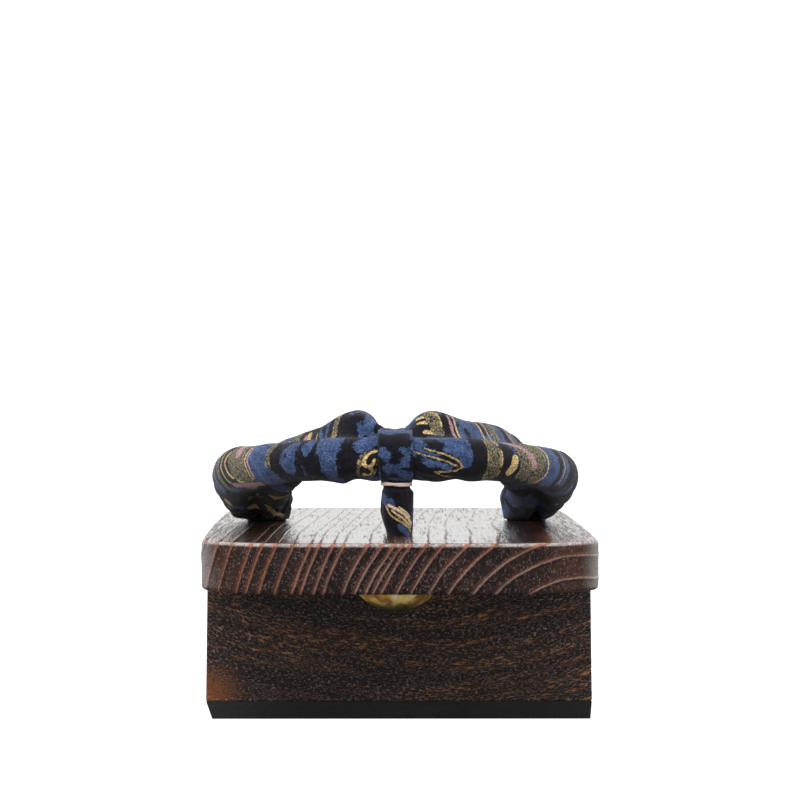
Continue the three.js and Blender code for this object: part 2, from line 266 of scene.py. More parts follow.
def ring_field(x, y, z):
    """Ring number, which rises by one from ring to ring, and the local gap between rings.

    The radius is the distance to a pith line that drifts to the right along the plank, with noise.
    """
    along = y - TOE_EDGE
    centre_x = PITH_X + PITH_DRIFT * along + PITH_BEND * along**2
    centre_z = PITH_Z + PITH_RISE * along
    radius = np.hypot(x - centre_x, z - centre_z)
    radius = radius + 0.5 * lattice_noise(x / 14, y / 60, 3) + 0.1 * lattice_noise(x / 2.8, y / 7 + z / 3, 4)
    number = np.interp(radius, RING_RADII, np.arange(len(RING_RADII)))
    middle = (RING_RADII[1:] + RING_RADII[:-1]) / 2
    gap = np.interp(radius, middle, np.diff(RING_RADII))
    return number, gap


def ring_height(number, gap):
    """Height of the raised rings from 0 to 1: a bell about each ring's line."""
    away = np.abs(number - np.round(number)) * gap
    return bell(away, 0, RIDGE_WIDTH)


def deck_points():
    """Points of the deck: a top grid, rings down its side and a bottom grid, all on one edge loop."""
    inset = EDGE_ROUND
    corner_y = HALF_LENGTH - CORNER_RADIUS
    turn = np.linspace(np.pi / 2, 0, CORNER_ROWS, endpoint=False)
    toe_rows = -corner_y - (CORNER_RADIUS - inset) * np.sin(turn)
    rows = np.concatenate([toe_rows, np.linspace(-corner_y, corner_y, SIDE_ROWS), -toe_rows[::-1]])
    half = deck_half_width(rows, inset)
    across = np.linspace(-1, 1, DECK_COLUMNS)
    flat = np.stack([half[:, None] * across[None, :], np.repeat(rows[:, None], DECK_COLUMNS, 1)], axis=-1)
    count = len(rows)
    index = np.arange(count * DECK_COLUMNS).reshape(count, DECK_COLUMNS)
    loop = np.concatenate([index[0, :-1], index[:-1, -1], index[-1, :0:-1], index[:0:-1, 0]])
    edge = flat.reshape(-1, 2)[loop]
    tangent = np.roll(edge, -1, axis=0) - np.roll(edge, 1, axis=0)
    outward = np.stack([tangent[:, 1], -tangent[:, 0]], axis=-1)
    outward /= np.linalg.norm(outward, axis=1)[:, None]
    bend = np.linspace(0, np.pi / 2, ROUND_ROWS + 1)[1:]
    lip = DECK_UNDER + inset
    wall = np.linspace(DECK_TOP - inset, lip, WALL_ROWS)[1:-1]
    profile = [(inset * np.sin(a), DECK_TOP - inset + inset * np.cos(a), np.sin(a), np.cos(a)) for a in bend]
    profile += [(inset, z, 1.0, 0.0) for z in wall]
    profile += [(inset * np.sin(a), lip - inset * np.cos(a), np.sin(a), -np.cos(a)) for a in bend[::-1]]
    profile = np.array(profile)
    side_xy = edge[None] + profile[:, 0, None, None] * outward[None]
    side = np.concatenate([side_xy, np.repeat(profile[:, 1, None, None], len(loop), 1)], axis=-1)
    side_normal = np.concatenate([
        profile[:, 2, None, None] * outward[None],
        np.repeat(profile[:, 3, None, None], len(loop), 1),
    ], axis=-1)
    flat_points = flat.reshape(-1, 2)
    top = np.column_stack([flat_points, np.full(len(flat_points), DECK_TOP)])
    bottom = np.column_stack([flat_points, np.full(len(flat_points), DECK_UNDER)])
    points = np.vstack([top, side.reshape(-1, 3), bottom])
    normals = np.vstack([
        np.tile((0, 0, 1.0), (len(top), 1)),
        side_normal.reshape(-1, 3),
        np.tile((0, 0, -1.0), (len(bottom), 1)),
    ])
    ring_count = len(profile)
    side_index = len(top) + np.arange(ring_count * len(loop)).reshape(ring_count, len(loop))
    bottom_start = len(top) + ring_count * len(loop)
    loops = np.vstack([loop[None], side_index, (loop + bottom_start)[None]])
    upper = loops[:-1]
    lower = loops[1:]
    walls = np.stack([upper, lower, np.roll(lower, -1, 1), np.roll(upper, -1, 1)], axis=-1).reshape(-1, 4)
    top_faces = grid_faces(count, DECK_COLUMNS)[:, ::-1]
    bottom_faces = grid_faces(count, DECK_COLUMNS, start=bottom_start)
    return points, normals, [top_faces, walls, bottom_faces]


def build_deck():
    """The deck with its rings standing out along its surface normal, more on the ends than on top."""
    points, normals, faces = deck_points()
    number, gap = ring_field(points[:, 0], points[:, 1], points[:, 2])
    height = ring_height(number, gap)
    upright = np.abs(normals[:, 2])
    relief = END_RELIEF * (1 - upright) + TOP_RELIEF * upright
    relief = np.where(normals[:, 2] < -0.5, 0, relief)
    points = points + normals * (relief * (height - RELIEF_LEVEL))[:, None]
    new_piece("deck_plank", points, faces, ["deck"], "deck_lacquer",
              values={"ring_number": number, "ring_gap": gap})


# Teeth and rubber soles

TOOTH_EASE = 0.45
TOOTH_ROUGHNESS = 0.05
HEAD_TAPER = 0.0075
PAD_EASE = 0.25
PAD_CUT_LEFT = 1.7
PAD_CUT_RIGHT = 0.4


def box_lattice(counts):
    """Corners and quads of a box's surface as a lattice: whole-number places, one for each point."""
    nx, ny, nz = counts
    grids = []
    for axis, end in ((0, 0), (0, nx), (1, 0), (1, ny), (2, 0), (2, nz)):
        first, second = [k for k in range(3) if k != axis]
        i, j = np.meshgrid(np.arange(counts[first]), np.arange(counts[second]), indexing="ij")
        corner = np.zeros((i.size, 4, 3), dtype=int)
        corner[..., axis] = end
        corner[..., first] = i.reshape(-1, 1) + np.array([0, 1, 1, 0])
        corner[..., second] = j.reshape(-1, 1) + np.array([0, 0, 1, 1])
        inward = (end == 0) != (axis == 1)
        grids.append(corner[:, ::-1] if inward else corner)
    corners = np.concatenate(grids)
    key = (corners[..., 0] * (ny + 1) + corners[..., 1]) * (nz + 1) + corners[..., 2]
    first_place, faces = np.unique(key.ravel(), return_index=True, return_inverse=True)[1:]
    return corners.reshape(-1, 3)[first_place], faces.reshape(-1, 4)


def rounded_block(low, high, counts, ease):
    """Points, faces and normals of a block with eased edges.

    Each lattice point is drawn to the box smaller by the ease, and set off from it by the ease.
    """
    lattice, faces = box_lattice(counts)
    columns = []
    for axis, count in enumerate(counts):
        inner = np.linspace(low[axis] + ease, high[axis] - ease, count - 3)
        edge = np.array([0, 0.6 * ease])
        line = np.concatenate([low[axis] + edge, inner, high[axis] - edge[::-1]])
        columns.append(line[lattice[:, axis]])
    cube = np.column_stack(columns)
    core = np.clip(cube, low + ease, high - ease)
    spoke = cube - core
    spoke /= np.linalg.norm(spoke, axis=1)[:, None]
    return core + spoke * ease, faces, spoke


def build_tooth(name):
    """A tooth as a block with eased edges, from its solid's box. Its head is a little narrower."""
    low, high = node_box(name)
    points, faces, normals = rounded_block(low, high, (160, 12, 60), TOOTH_EASE)
    rough = lattice_noise(points[:, 0] / 1.7, points[:, 2] / 0.9 + points[:, 1] / 2, 31)
    upright = np.abs(normals[:, 2]) < 0.5
    share = (points[:, 2] - low[2]) / (high[2] - low[2])
    points = points + normals * (TOOTH_ROUGHNESS * rough * upright)[:, None]
    points[:, 0] *= 1 - HEAD_TAPER * share
    new_piece(name + "_wood", points, [faces], [name], "burned_wood")


def build_pad(name):
    """A rubber sole with its ends cut in towards the floor, more on the left."""
    low, high = node_box(name)
    points, faces, normals = rounded_block(low, high, (40, 12, 8), PAD_EASE)
    share = 1 - (points[:, 2] - low[2]) / (high[2] - low[2])
    points[:, 0] += share * np.where(points[:, 0] < 0, PAD_CUT_LEFT, -PAD_CUT_RIGHT)
    new_piece(name + "_rubber", points, [faces], [name], "sole_rubber", normals=normals)


# Strap

FINE_STEP = 0.3
COARSE_STEP = 0.62
FINE_REACH = 64.0
UPPER_SIDES = 88
LOWER_SIDES = 36
CLOTH_ROUND = 52.0
SPINE_SAMPLES = 4001
REST_GAP = 0.3


def arm_rows(side):
    """Rows of one arm from the middle to its rear hole, as rolls' centres, radius and crease."""
    def place(share):
        return np.column_stack([
            side * share[:, 0] * STRAP_HALF_SPAN,
            FRONT_HOLE_Y + share[:, 1] * STRAP_REACH,
            DECK_TOP + share[:, 2] * STRAP_RISE,
        ])
    outer = place(ARM_SECTIONS[:, 0:3])
    inner = place(ARM_SECTIONS[:, 3:6] + side * ARM_SECTIONS[:, [6, 5, 7]] * (1, 0, 1))
    half_neck = NECK_RADIUS / 10
    heights = (DECK_TOP + NECK_RADIUS / 4, (DECK_TOP + DECK_UNDER) / 2, DECK_UNDER + 1)
    neck_outer = [(side * (REAR_HOLE_X + half_neck), REAR_HOLE_Y, z) for z in heights]
    neck_inner = [(side * (REAR_HOLE_X - half_neck), REAR_HOLE_Y, z) for z in heights]
    roll = np.append(ARM_SECTIONS[:, 8] * ROLL_RADIUS, [NECK_RADIUS - half_neck] * 3)
    crease = np.append(ARM_SECTIONS[:, 9], [0, 0, 0])
    return np.vstack([outer, neck_outer]), np.vstack([inner, neck_inner]), roll, crease


def waisted_oval(half_width, roll, crease, turn):
    """Across and up values of two round rolls side by side with a crease between them.

    turn runs 0 to 1 from the outer roll's far side over the top to the inner roll and back below.
    The rolls are half circles, and the crease a squared cosine across the gap between them.
    """
    spread = half_width - roll
    arc = np.pi * roll
    lap = 2 * arc + 4 * spread
    reach = (turn % 1) * lap
    quarter = arc / 2
    folded = np.where(reach > lap / 2, lap - reach, reach)
    on_outer = folded < quarter
    on_inner = folded > quarter + 2 * spread
    outer_angle = folded / roll
    inner_angle = (lap / 2 - folded) / roll
    level = (folded - quarter) / np.maximum(spread, 1e-6) - 1
    level = np.clip(level, -1, 1)
    web = roll * (1 - crease * np.cos(level * np.pi / 2) ** 2)
    across = np.where(on_outer, -spread - roll * np.cos(outer_angle),
                      np.where(on_inner, spread + roll * np.cos(inner_angle), level * spread))
    up = np.where(on_outer, roll * np.sin(outer_angle),
                  np.where(on_inner, roll * np.sin(inner_angle), web))
    return across, np.where(reach > lap / 2, -up, up)


def strap_surface():
    """The strap's skin: the waisted oval carried along both rolls' centre lines, left to right.

    Steps are finer in front, where the print shows, and sections have more points on top. Gives
    the points, unit normals, signed length along from the middle and turn round the section.
    """
    left = [part[1:][::-1] for part in arm_rows(-1)]
    right = arm_rows(1)
    outer_rows, inner_rows, roll_rows, crease_rows = (
        np.concatenate([a, b]) for a, b in zip(left, right))
    even = np.linspace(0, len(roll_rows) - 1, SPINE_SAMPLES)
    spine = (smooth_curve(outer_rows, even) + smooth_curve(inner_rows, even)) / 2
    length = np.concatenate([[0], np.cumsum(np.linalg.norm(np.diff(spine, axis=0), axis=1))])
    length -= length[SPINE_SAMPLES // 2]
    step = np.where(np.abs(length) < FINE_REACH, FINE_STEP, COARSE_STEP)
    tally = np.concatenate([[0], np.cumsum(np.diff(length) / step[1:])])
    steps = int(tally[-1]) // 2 * 2 + 1
    place = np.interp(np.linspace(0, tally[-1], steps), tally, even)
    outer = smooth_curve(outer_rows, place)
    inner = smooth_curve(inner_rows, place)
    roll = np.interp(place, np.arange(len(roll_rows)), roll_rows)[:, None]
    crease = np.interp(place, np.arange(len(roll_rows)), crease_rows)[:, None]
    middle = (outer + inner) / 2
    across = inner - outer
    width = np.linalg.norm(across, axis=1)[:, None]
    across = across / width
    ahead = np.gradient(outer, axis=0) + np.gradient(inner, axis=0)
    ahead /= np.linalg.norm(ahead, axis=1)[:, None]
    up = np.cross(ahead, across)
    up /= np.linalg.norm(up, axis=1)[:, None]
    turn = np.concatenate([
        np.arange(UPPER_SIDES) / UPPER_SIDES * 0.6 - 0.05,
        0.55 + np.arange(LOWER_SIDES) / LOWER_SIDES * 0.4,
    ])[None] % 1
    a, b = waisted_oval(width / 2 + roll, roll, crease, turn)
    points = middle[:, None] + a[..., None] * across[:, None] + b[..., None] * up[:, None]
    facing = np.cross(np.gradient(points, axis=0), np.roll(points, -1, 1) - np.roll(points, 1, 1))
    facing /= np.maximum(np.linalg.norm(facing, axis=-1), 1e-9)[..., None]
    along = np.interp(place, even, length)
    return points, facing, along, turn[0]


def stroke_distance(along, around, stroke, half_width, lap):
    """How far inside a stroke each point lies, in millimetres: half width less distance to its line."""
    best = np.full(along.shape, 1e3)
    stroke = np.array(stroke, dtype=float)
    if len(stroke) == 1:
        stroke = np.vstack([stroke, stroke + 1e-3])
    for start, end in zip(stroke[:-1], stroke[1:]):
        line = end - start
        du = along - start[0]
        dv = around - start[1]
        dv = (dv + lap / 2) % lap - lap / 2
        share = np.clip((du * line[0] + dv * line[1]) / (line @ line), 0, 1)
        best = np.minimum(best, np.hypot(du - share * line[0], dv - share * line[1]))
    return half_width - best


INK_KEYS = ("print_blue", "print_olive", "print_gold", "print_pink", "print_cream")


def print_fields(along, around, strokes, lap):
    """The cloth's print: how far inside each of its inks each point lies.

    Strokes are laid down in order. Each clears the inks below it, and black and blue have ragged
    edges. Where no stroke lies, a slow noise parts blue from black.
    """
    ragged = 0.9 * lattice_noise(along / 1.6, around / 2.4, 12)
    ragged = ragged + 0.5 * lattice_noise(along / 0.8, around, 13)
    ground = 5 * lattice_noise(along / 8 + 0.25 * ragged, around / 8 + 5, 11) + ragged
    fields = {key: np.full(along.shape, -5.0) for key in INK_KEYS}
    fields["print_blue"] = ground
    for colour, half_width, stroke in strokes:
        inside = stroke_distance(along, around, stroke, half_width, lap)
        if colour in ("blue", "black"):
            inside = inside + 0.75 * ragged
        for key in INK_KEYS:
            if key == "print_" + colour:
                fields[key] = np.maximum(fields[key], inside)
            else:
                fields[key] = np.minimum(fields[key], -inside)
    return fields


# Strokes of the strap's print: colour, half width, and points of length along the strap from its
# middle (left is negative) and length round it from its front edge (up over the top is positive)
STRAP_STROKES = [
    # ground of the front roll, from the band to the left
    ("blue", 2.2, [(-2, 8), (-7, 7), (-8, 6)]),
    ("black", 1.7, [(-12.4, 8), (-11.2, 3), (-10.3, -6)]),
    ("blue", 1.7, [(-13.6, 8), (-14.2, 3), (-14.4, -2), (-13.2, -5)]),
    ("black", 2.5, [(-19, 7), (-18.8, 2), (-18.6, -6)]),
    ("blue", 1, [(-18.4, 6.5), (-19.4, 4.4)]),
    ("blue", 1.3, [(-23.2, 5.5), (-23.8, 2), (-25.4, -1)]),
    ("blue", 0.8, [(-25, 4.6), (-27, 2.6), (-27, 0.4)]),
    ("black", 1.8, [(-28.2, 5), (-29.2, 1.6), (-28, -2.6), (-25, -5)]),
    ("olive", 0.7, [(-29.8, 6), (-31.2, 3), (-31.4, 0.6)]),
    ("blue", 2.9, [(-34.6, 5), (-34.8, 0), (-33.4, -4)]),
    ("pink", 0.35, [(-38, 5.6), (-38.6, 2), (-38, -2)]),
    ("gold", 0.35, [(-38.9, 5.6), (-39.6, 2), (-39, -2.4)]),
    ("olive", 3.9, [(-44, 7), (-44.2, 2), (-43.6, -2)]),
    ("pink", 1.3, [(-43.6, 5.4), (-43.2, 3.8)]),
    ("black", 1.1, [(-49.4, 6), (-50, 2), (-48, -1.4)]),
    ("gold", 0.5, [(-48.6, 4), (-50.4, 1.6), (-49, -0.6), (-46, -2.2), (-43, -3)]),
    ("black", 0.9, [(-47, -3), (-42, -4.2)]),
    ("gold", 0.4, [(-53, 5), (-54, 1), (-52, -2), (-47, -4.6)]),
    ("olive", 1.2, [(-57, 5), (-58, 1), (-56, -3)]),
    ("black", 1.3, [(-61, 5), (-62, 1), (-60, -4)]),
    ("olive", 0.8, [(-65, 4), (-66, 0), (-64, -4)]),
    ("pink", 0.8, [(-50, -3.4), (-44, -3.8), (-38, -4.2)]),
    # curl beside the band
    ("olive", 2.1, [(-6.4, 2.4), (-6.4, -2.2)]),
    ("black", 1.75, [(-6.2, 2.4), (-6.2, -2.2)]),
    ("gold", 0.5, [(-5, 3.6), (-6.3, 3.6), (-7.2, 2.4), (-7.3, 0.9), (-6.5, 0.1), (-5.5, 0.1),
                   (-5.1, 1.3)]),
    ("gold", 0.45, [(-6.1, -0.1), (-5.5, -1.2), (-5.3, -2.5), (-6.1, -3.3), (-6.9, -3.1), (-7.2, -2.3)]),
    # rear roll to the left
    ("blue", 1.6, [(-6, 12), (-8, 16), (-8.6, 20)]),
    ("black", 1, [(-6.4, 15.4), (-5, 19)]),
    ("black", 2.4, [(-12.6, 11), (-13.4, 16), (-13.2, 22)]),
    ("blue", 0.5, [(-10, 12.5), (-11.2, 15.5)]),
    ("blue", 0.5, [(-13.6, 18.6), (-12.2, 20.4), (-11, 20.8)]),
    ("olive", 0.7, [(-17, 12), (-17.6, 16), (-17, 20)]),
    ("blue", 1.9, [(-20.6, 12), (-21.4, 16), (-21, 21)]),
    ("black", 0.6, [(-20.4, 13), (-21.6, 17)]),
    ("gold", 0.3, [(-23.2, 12), (-24.2, 16)]),
    ("gold", 1.3, [(-27, 12), (-28.2, 16)]),
    ("pink", 0.7, [(-28.6, 12.6), (-29.8, 16)]),
    ("olive", 1.9, [(-33, 12), (-35, 16), (-35, 21)]),
    ("gold", 0.5, [(-36.2, 12), (-38, 16)]),
    ("olive", 2.4, [(-42, 12), (-44, 16)]),
    # right of the band
    ("black", 2.6, [(3.5, -1), (8, -3), (14, -4), (20, -6)]),
    ("black", 1.4, [(8.6, 7.2), (11, 5.4)]),
    ("blue", 0.9, [(5, 10), (9, 10.6), (11, 9)]),
    ("blue", 0.8, [(5.4, 8.6), (6.6, 6.6)]),
    ("blue", 2.3, [(13.6, 7.4), (13.8, 5.2), (15.4, 3.2)]),
    ("black", 2, [(18.6, 8), (18.6, 2), (18, -5)]),
    ("blue", 0.9, [(7.6, 1.3), (11.2, 1.1)]),
    ("gold", 0.3, [(7.4, 5), (10.8, 3.9), (13, 2.7), (14.4, 0.9), (12.9, 0), (8.9, -0.7)]),
    ("gold", 0.3, [(4.7, 3.6), (8, 3.1), (11, 2.2), (13.2, 1)]),
    ("gold", 0.28, [(8.4, -0.8), (9.8, -1.7), (12, -1.8)]),
    ("olive", 2.1, [(22.4, 9), (22.6, 4), (23, -2)]),
    ("gold", 0.34, [(23.6, 9), (24.8, 4), (24.8, -1.6)]),
    ("black", 1.6, [(26.4, 5), (27, 2), (26.2, -2.6)]),
    ("gold", 1.1, [(28.9, 2.4), (28.4, 0.4), (27.6, -0.8)]),
    ("olive", 4.6, [(34, 7), (35.2, 2), (35, -1)]),
    ("pink", 0.55, [(27, 7.4), (31, 5.9), (33.8, 4.2), (35.2, 2.4)]),
    ("pink", 1, [(34.6, 3.2), (35.4, 1.6)]),
    ("gold", 0.4, [(39, 8), (40.8, 4), (41, 0), (38.5, -4)]),
    ("blue", 2.3, [(43.8, 7), (44.4, 2), (43, -4)]),
    ("black", 0.9, [(47.6, 7), (48, 2), (47, -4)]),
    ("gold", 0.4, [(50, 7), (50.6, 2), (50, -2)]),
    ("blue", 1.3, [(53, 6), (53.6, 1), (52, -4)]),
    ("black", 1.6, [(57.6, 6), (58, 1), (56, -5)]),
    ("black", 3.5, [(30, -6), (42, -7), (52, -6)]),
    # rear roll to the right
    ("gold", 0.6, [(8.6, 19), (10.6, 18.4)]),
    ("gold", 0.5, [(8.2, 17), (10.8, 16.4)]),
    ("gold", 0.6, [(9.4, 14.4), (12.4, 13.8)]),
    ("olive", 1.6, [(12.2, 18.6), (12.8, 14.6)]),
    ("gold", 0.3, [(11.6, 20.4), (13.6, 18.6), (14, 15)]),
    ("black", 0.7, [(15.2, 21), (15.8, 12)]),
    ("pink", 0.45, [(16.4, 21), (16.9, 12)]),
    ("black", 0.35, [(17.1, 21), (17.6, 12)]),
    ("gold", 0.4, [(17.8, 21), (18.4, 12)]),
    ("blue", 3.4, [(22.6, 21), (23.4, 12)]),
    ("black", 0.9, [(21.4, 15.6), (22.4, 12.6)]),
    ("gold", 0.4, [(27.4, 21), (28.4, 12)]),
    ("black", 0.6, [(28.8, 21), (29.8, 12)]),
    ("gold", 0.35, [(30.2, 21), (31.2, 12)]),
    ("olive", 1.5, [(33.2, 21), (34.4, 12)]),
    ("blue", 0.9, [(36.4, 21), (37.4, 12)]),
    ("black", 1.2, [(39.6, 20), (40.4, 12)]),
    ("pink", 0.5, [(42, 20), (42.6, 12)]),
    ("olive", 1.4, [(45, 20), (45.6, 12)]),
    ("black", 1, [(49, 20), (49.6, 12)]),
    ("olive", 1.6, [(53, 20), (53.6, 12)]),
    # the hidden rear of both arms, in the same motifs
    ("olive", 3, [(-77, 8), (-81, 13)]),
    ("pink", 0.9, [(-78, 10), (-80, 12)]),
    ("gold", 0.5, [(-72, 6), (-74, 12), (-79, 17)]),
    ("black", 1.8, [(-88, 4), (-91, 12)]),
    ("gold", 0.45, [(-94, 6), (-98, 11), (-97, 17)]),
    ("olive", 1.8, [(-103, 11), (-106, 16)]),
    ("gold", 0.9, [(-68, 17), (-73, 20)]),
    ("olive", 2.6, [(72, 9), (74, 15)]),
    ("gold", 0.45, [(78, 5), (80, 11), (77, 18)]),
    ("black", 1.6, [(84, 6), (88, 14)]),
    ("olive", 3.2, [(95, 9), (99, 13)]),
    ("pink", 0.8, [(96, 11), (98, 13)]),
    ("gold", 0.5, [(90, 5), (92, 12), (97, 18)]),
    ("gold", 0.8, [(104, 16), (108, 19)]),
    # roots: dark, with gold shapes on the left and blue folds on the right
    ("black", 3.2, [(-40, -9), (-58, -8.6), (-90, -6.4)]),
    ("black", 12, [(-84, -16), (-125, -16)]),
    ("gold", 1.9, [(-76, -17.6), (-83, -19.2)]),
    ("olive", 0.6, [(-84, -11.6), (-91, -11.8)]),
    ("gold", 0.4, [(-81, -13.6), (-86, -13.2)]),
    ("gold", 1.6, [(-104, -12), (-109, -14)]),
    ("gold", 1.2, [(-116, -12.4), (-117, -14.4)]),
    ("gold", 0.8, [(-98, -16), (-108, -17.2), (-115, -18.6), (-119, -20.4)]),
    ("gold", 0.8, [(-84, -5.6), (-95, -6.6), (-104, -7.6)]),
    ("gold", 0.7, [(-60, -19.6), (-62, -20.2)]),
    ("olive", 1, [(-100, -6.4), (-106, -5.6)]),
    ("olive", 0.8, [(-86, -14.4), (-88, -12.6)]),
    ("blue", 1.4, [(-94, -8.6), (-104, -7.8)]),
    ("blue", 1, [(-104, -19.6), (-112, -20.4)]),
    ("black", 12, [(84, -16), (125, -16)]),
    ("blue", 3.6, [(84, -18.4), (98, -17.6)]),
    ("blue", 3, [(102, -21.8), (112, -23.4)]),
    ("blue", 2, [(98, -13.6), (104, -12.4)]),
    ("blue", 1.6, [(112, -11), (116, -10)]),
    ("blue", 2, [(121, -24), (127, -24)]),
    ("gold", 0.5, [(88, -8.2), (91, -8.6)]),
]


def strap_relief(along, turn):
    """Height of the strap's folds: gathers beside the band, puckers below and wrinkles at the roots."""
    distance = np.abs(along)[:, None]
    side = np.sign(along)[:, None]
    left = side < 0
    lap = turn[None]
    opposite = (lap + 0.5) % 1
    gathers = 0.5 * bell(distance, 6, 5) * np.cos(2 * np.pi * (7 * lap + 0.12 * side))
    puckers = 0.9 * bell(opposite, 0.36, 0.07) * bell(distance, 12, 7) * np.cos(distance * 0.55 + 1.2 * side)
    end = along[-1]
    root = ramp(distance, end - 44, end - 26) * ramp(distance, end - 10, end - 18)
    folds = np.where(left, 0.8, 0.4) * np.sin(distance * 0.8 + 3.6 * np.sin(2 * np.pi * lap + side))
    ropes = np.where(left, 0.55, 0.5) * np.cos(10 * np.pi * lap + 0.2 * distance)
    creases = np.where(left, 0.6, 0.3) * (1 - np.abs(np.sin(distance * 0.5 + 5 * np.pi * lap))) ** 3
    bulge = np.where(left, 1.0, 0.0) * bell(opposite, 0.4, 0.1)
    x = along[:, None]
    swell = 0.28 * lattice_noise(x / 9, np.cos(2 * np.pi * lap) * 2 + 20, 21)
    swell = swell + 0.16 * lattice_noise(x / 3.5, np.sin(2 * np.pi * lap) * 4 + 40, 22)
    full = 0.4 * ramp(distance, 36, 50) * ramp(distance, 84, 70)
    return gathers + puckers + root * (folds + ropes - creases + bulge) + swell + full


def build_strap():
    """The padded strap: its skin with folds, cut level just above the deck outside the holes."""
    points, facing, along, turn = strap_surface()
    quiet = ramp(points[..., 2], DECK_TOP, DECK_TOP + 3)
    points = leaned(points + facing * (strap_relief(along, turn) * quiet)[..., None])
    resting = (points[..., 2] < DECK_TOP + REST_GAP) & (points[..., 2] > DECK_TOP - 4)
    away_x = points[..., 0] - np.sign(points[..., 0]) * REAR_HOLE_X
    outside = np.hypot(away_x, points[..., 1] - REAR_HOLE_Y) > NECK_RADIUS
    points[..., 2] = np.where(resting & outside, DECK_TOP + REST_GAP, points[..., 2])
    flat, faces = closed_tube(points, ring_middles(points), False)
    around = turn * CLOTH_ROUND
    signed_round = np.where(turn > 0.55, around - CLOTH_ROUND, around)
    cloth_places = np.broadcast_arrays(along[:, None], signed_round[None])
    fields = print_fields(*cloth_places, STRAP_STROKES, CLOTH_ROUND)
    seam_round = np.where(turn > 0.94, around - CLOTH_ROUND, around)
    wall_uv = grid_uv(along, np.append(seam_round, seam_round[0] + CLOTH_ROUND))
    tip_uv = np.zeros((2 * len(turn) * 3, 2))
    piece = new_piece("hanao_cloth", flat, faces, ["hanao_strap"], "printed_cloth",
                      corner_uv=np.vstack([wall_uv, tip_uv]),
                      values={key: np.append(field, [0, 0]) for key, field in fields.items()})


# Front loop, thread, cap and knots

BAND_HALF_WIDTH = 4.75
BAND_WALL = 1.3
BAND_STEPS = 160
BAND_SIDES = 56


def middle_section():
    """Outer and inner roll centres and roll radius in the middle of the strap."""
    outer, inner, roll, _ = arm_rows(1)
    return outer[0], inner[0], roll[0]


def band_surface():
    """The band: a rounded strip section carried once round the strap's middle, narrower below."""
    outer, inner, roll = middle_section()
    centre = (outer + inner) / 2
    across = (inner - outer) / np.linalg.norm(inner - outer)
    up = np.array([0, -across[2], across[1]])
    half = np.linalg.norm(inner - outer) / 2
    turn = (np.arange(BAND_STEPS) / BAND_STEPS)[:, None]
    strip = np.linspace(0, 2 * np.pi, BAND_SIDES, endpoint=False)[None]
    width = BAND_HALF_WIDTH * np.sign(np.cos(strip)) * np.abs(np.cos(strip)) ** 0.35
    lift = 0.5 + 0.5 * np.sign(np.sin(strip)) * np.abs(np.sin(strip)) ** 0.6
    below = bell((turn + 0.5) % 1, 0.31, 0.06)
    fold = 0.16 * np.cos(width * 2.1 + 3 * turn * np.pi) + 0.12 * np.cos(width * 4.3 - 9 * turn)
    gather = 1 - 0.1 * below
    grow = 0.3 + lift * (BAND_WALL + fold * lift + 0.25 * below * np.cos(width * 3))
    radius = roll + grow
    a, b = waisted_oval(half + radius, radius, np.zeros_like(radius), turn + 0 * strip)
    points = centre + a[..., None] * across + b[..., None] * up
    points[..., 0] += width * gather
    return leaned(points), turn[:, 0], width[0]


POST_ROWS = 60
POST_SIDES = 72
POST_DEPTH = 0.96
# Height above the deck, half width, and shift to the right
POST_SHAPE = np.array([
    (-1.0, 3.45, 0.0),
    (0.6, 3.5, 0.0),
    (3.0, 4.0, -0.15),
    (6.5, 4.5, -0.15),
    (9.5, 4.45, 0.0),
    (12.0, 4.35, 0.1),
    (13.0, 3.7, 0.0),
    (15.5, 3.6, 0.0),
])


def post_surface():
    """The toe post: a tube with a drawn outline and a few twisted folds, from the deck to the band."""
    height = np.linspace(POST_SHAPE[0, 0], POST_SHAPE[-1, 0], POST_ROWS)
    radius = np.interp(height, POST_SHAPE[:, 0], POST_SHAPE[:, 1])[:, None]
    shift = np.interp(height, POST_SHAPE[:, 0], POST_SHAPE[:, 2])[:, None]
    angle = np.linspace(0, 2 * np.pi, POST_SIDES, endpoint=False)[None]
    level = height[:, None]
    calm = ramp(level, 0, 3) * ramp(level, 13, 11.5)
    fold = 0.14 * np.cos(3 * angle + level * 0.5) + 0.08 * np.cos(7 * angle - level * 0.3)
    fold = fold + 0.1 * np.cos(13 * angle) * ramp(level, 9, 12)
    size = radius + fold * calm
    y = FRONT_HOLE_Y + size * np.sin(angle) * POST_DEPTH
    points = stacked(shift + size * np.cos(angle), y, DECK_TOP + level)
    return leaned(points), height, angle[0]


# Lengths round the band and the post. The post's strokes never wrap, so their lap is past its height.
BAND_LAP = 60.0
POST_LAP = 27.0
NO_WRAP = 200.0
# Strokes of the band: across it, and round it from its front edge (up over the top is positive)
BAND_STROKES = [
    ("blue", 3.0, [(-2.5, 11), (3, 11)]),
    ("black", 1.5, [(-2.8, 5.2), (2.8, 5.0)]),
    ("blue", 1.1, [(-3.4, 1.8), (-1.6, 1.2)]),
    ("blue", 1.6, [(2.6, 2.0), (2.8, -1.4)]),
    ("black", 0.45, [(2.0, 0.3), (2.4, 0.7)]),
    ("black", 1.0, [(-1.0, 3.4), (0.0, 0.0)]),
    ("blue", 1.5, [(-2.4, -3), (2.0, -4.4), (3, -7)]),
    ("black", 1.2, [(-3.4, -6), (-2.4, -10)]),
]
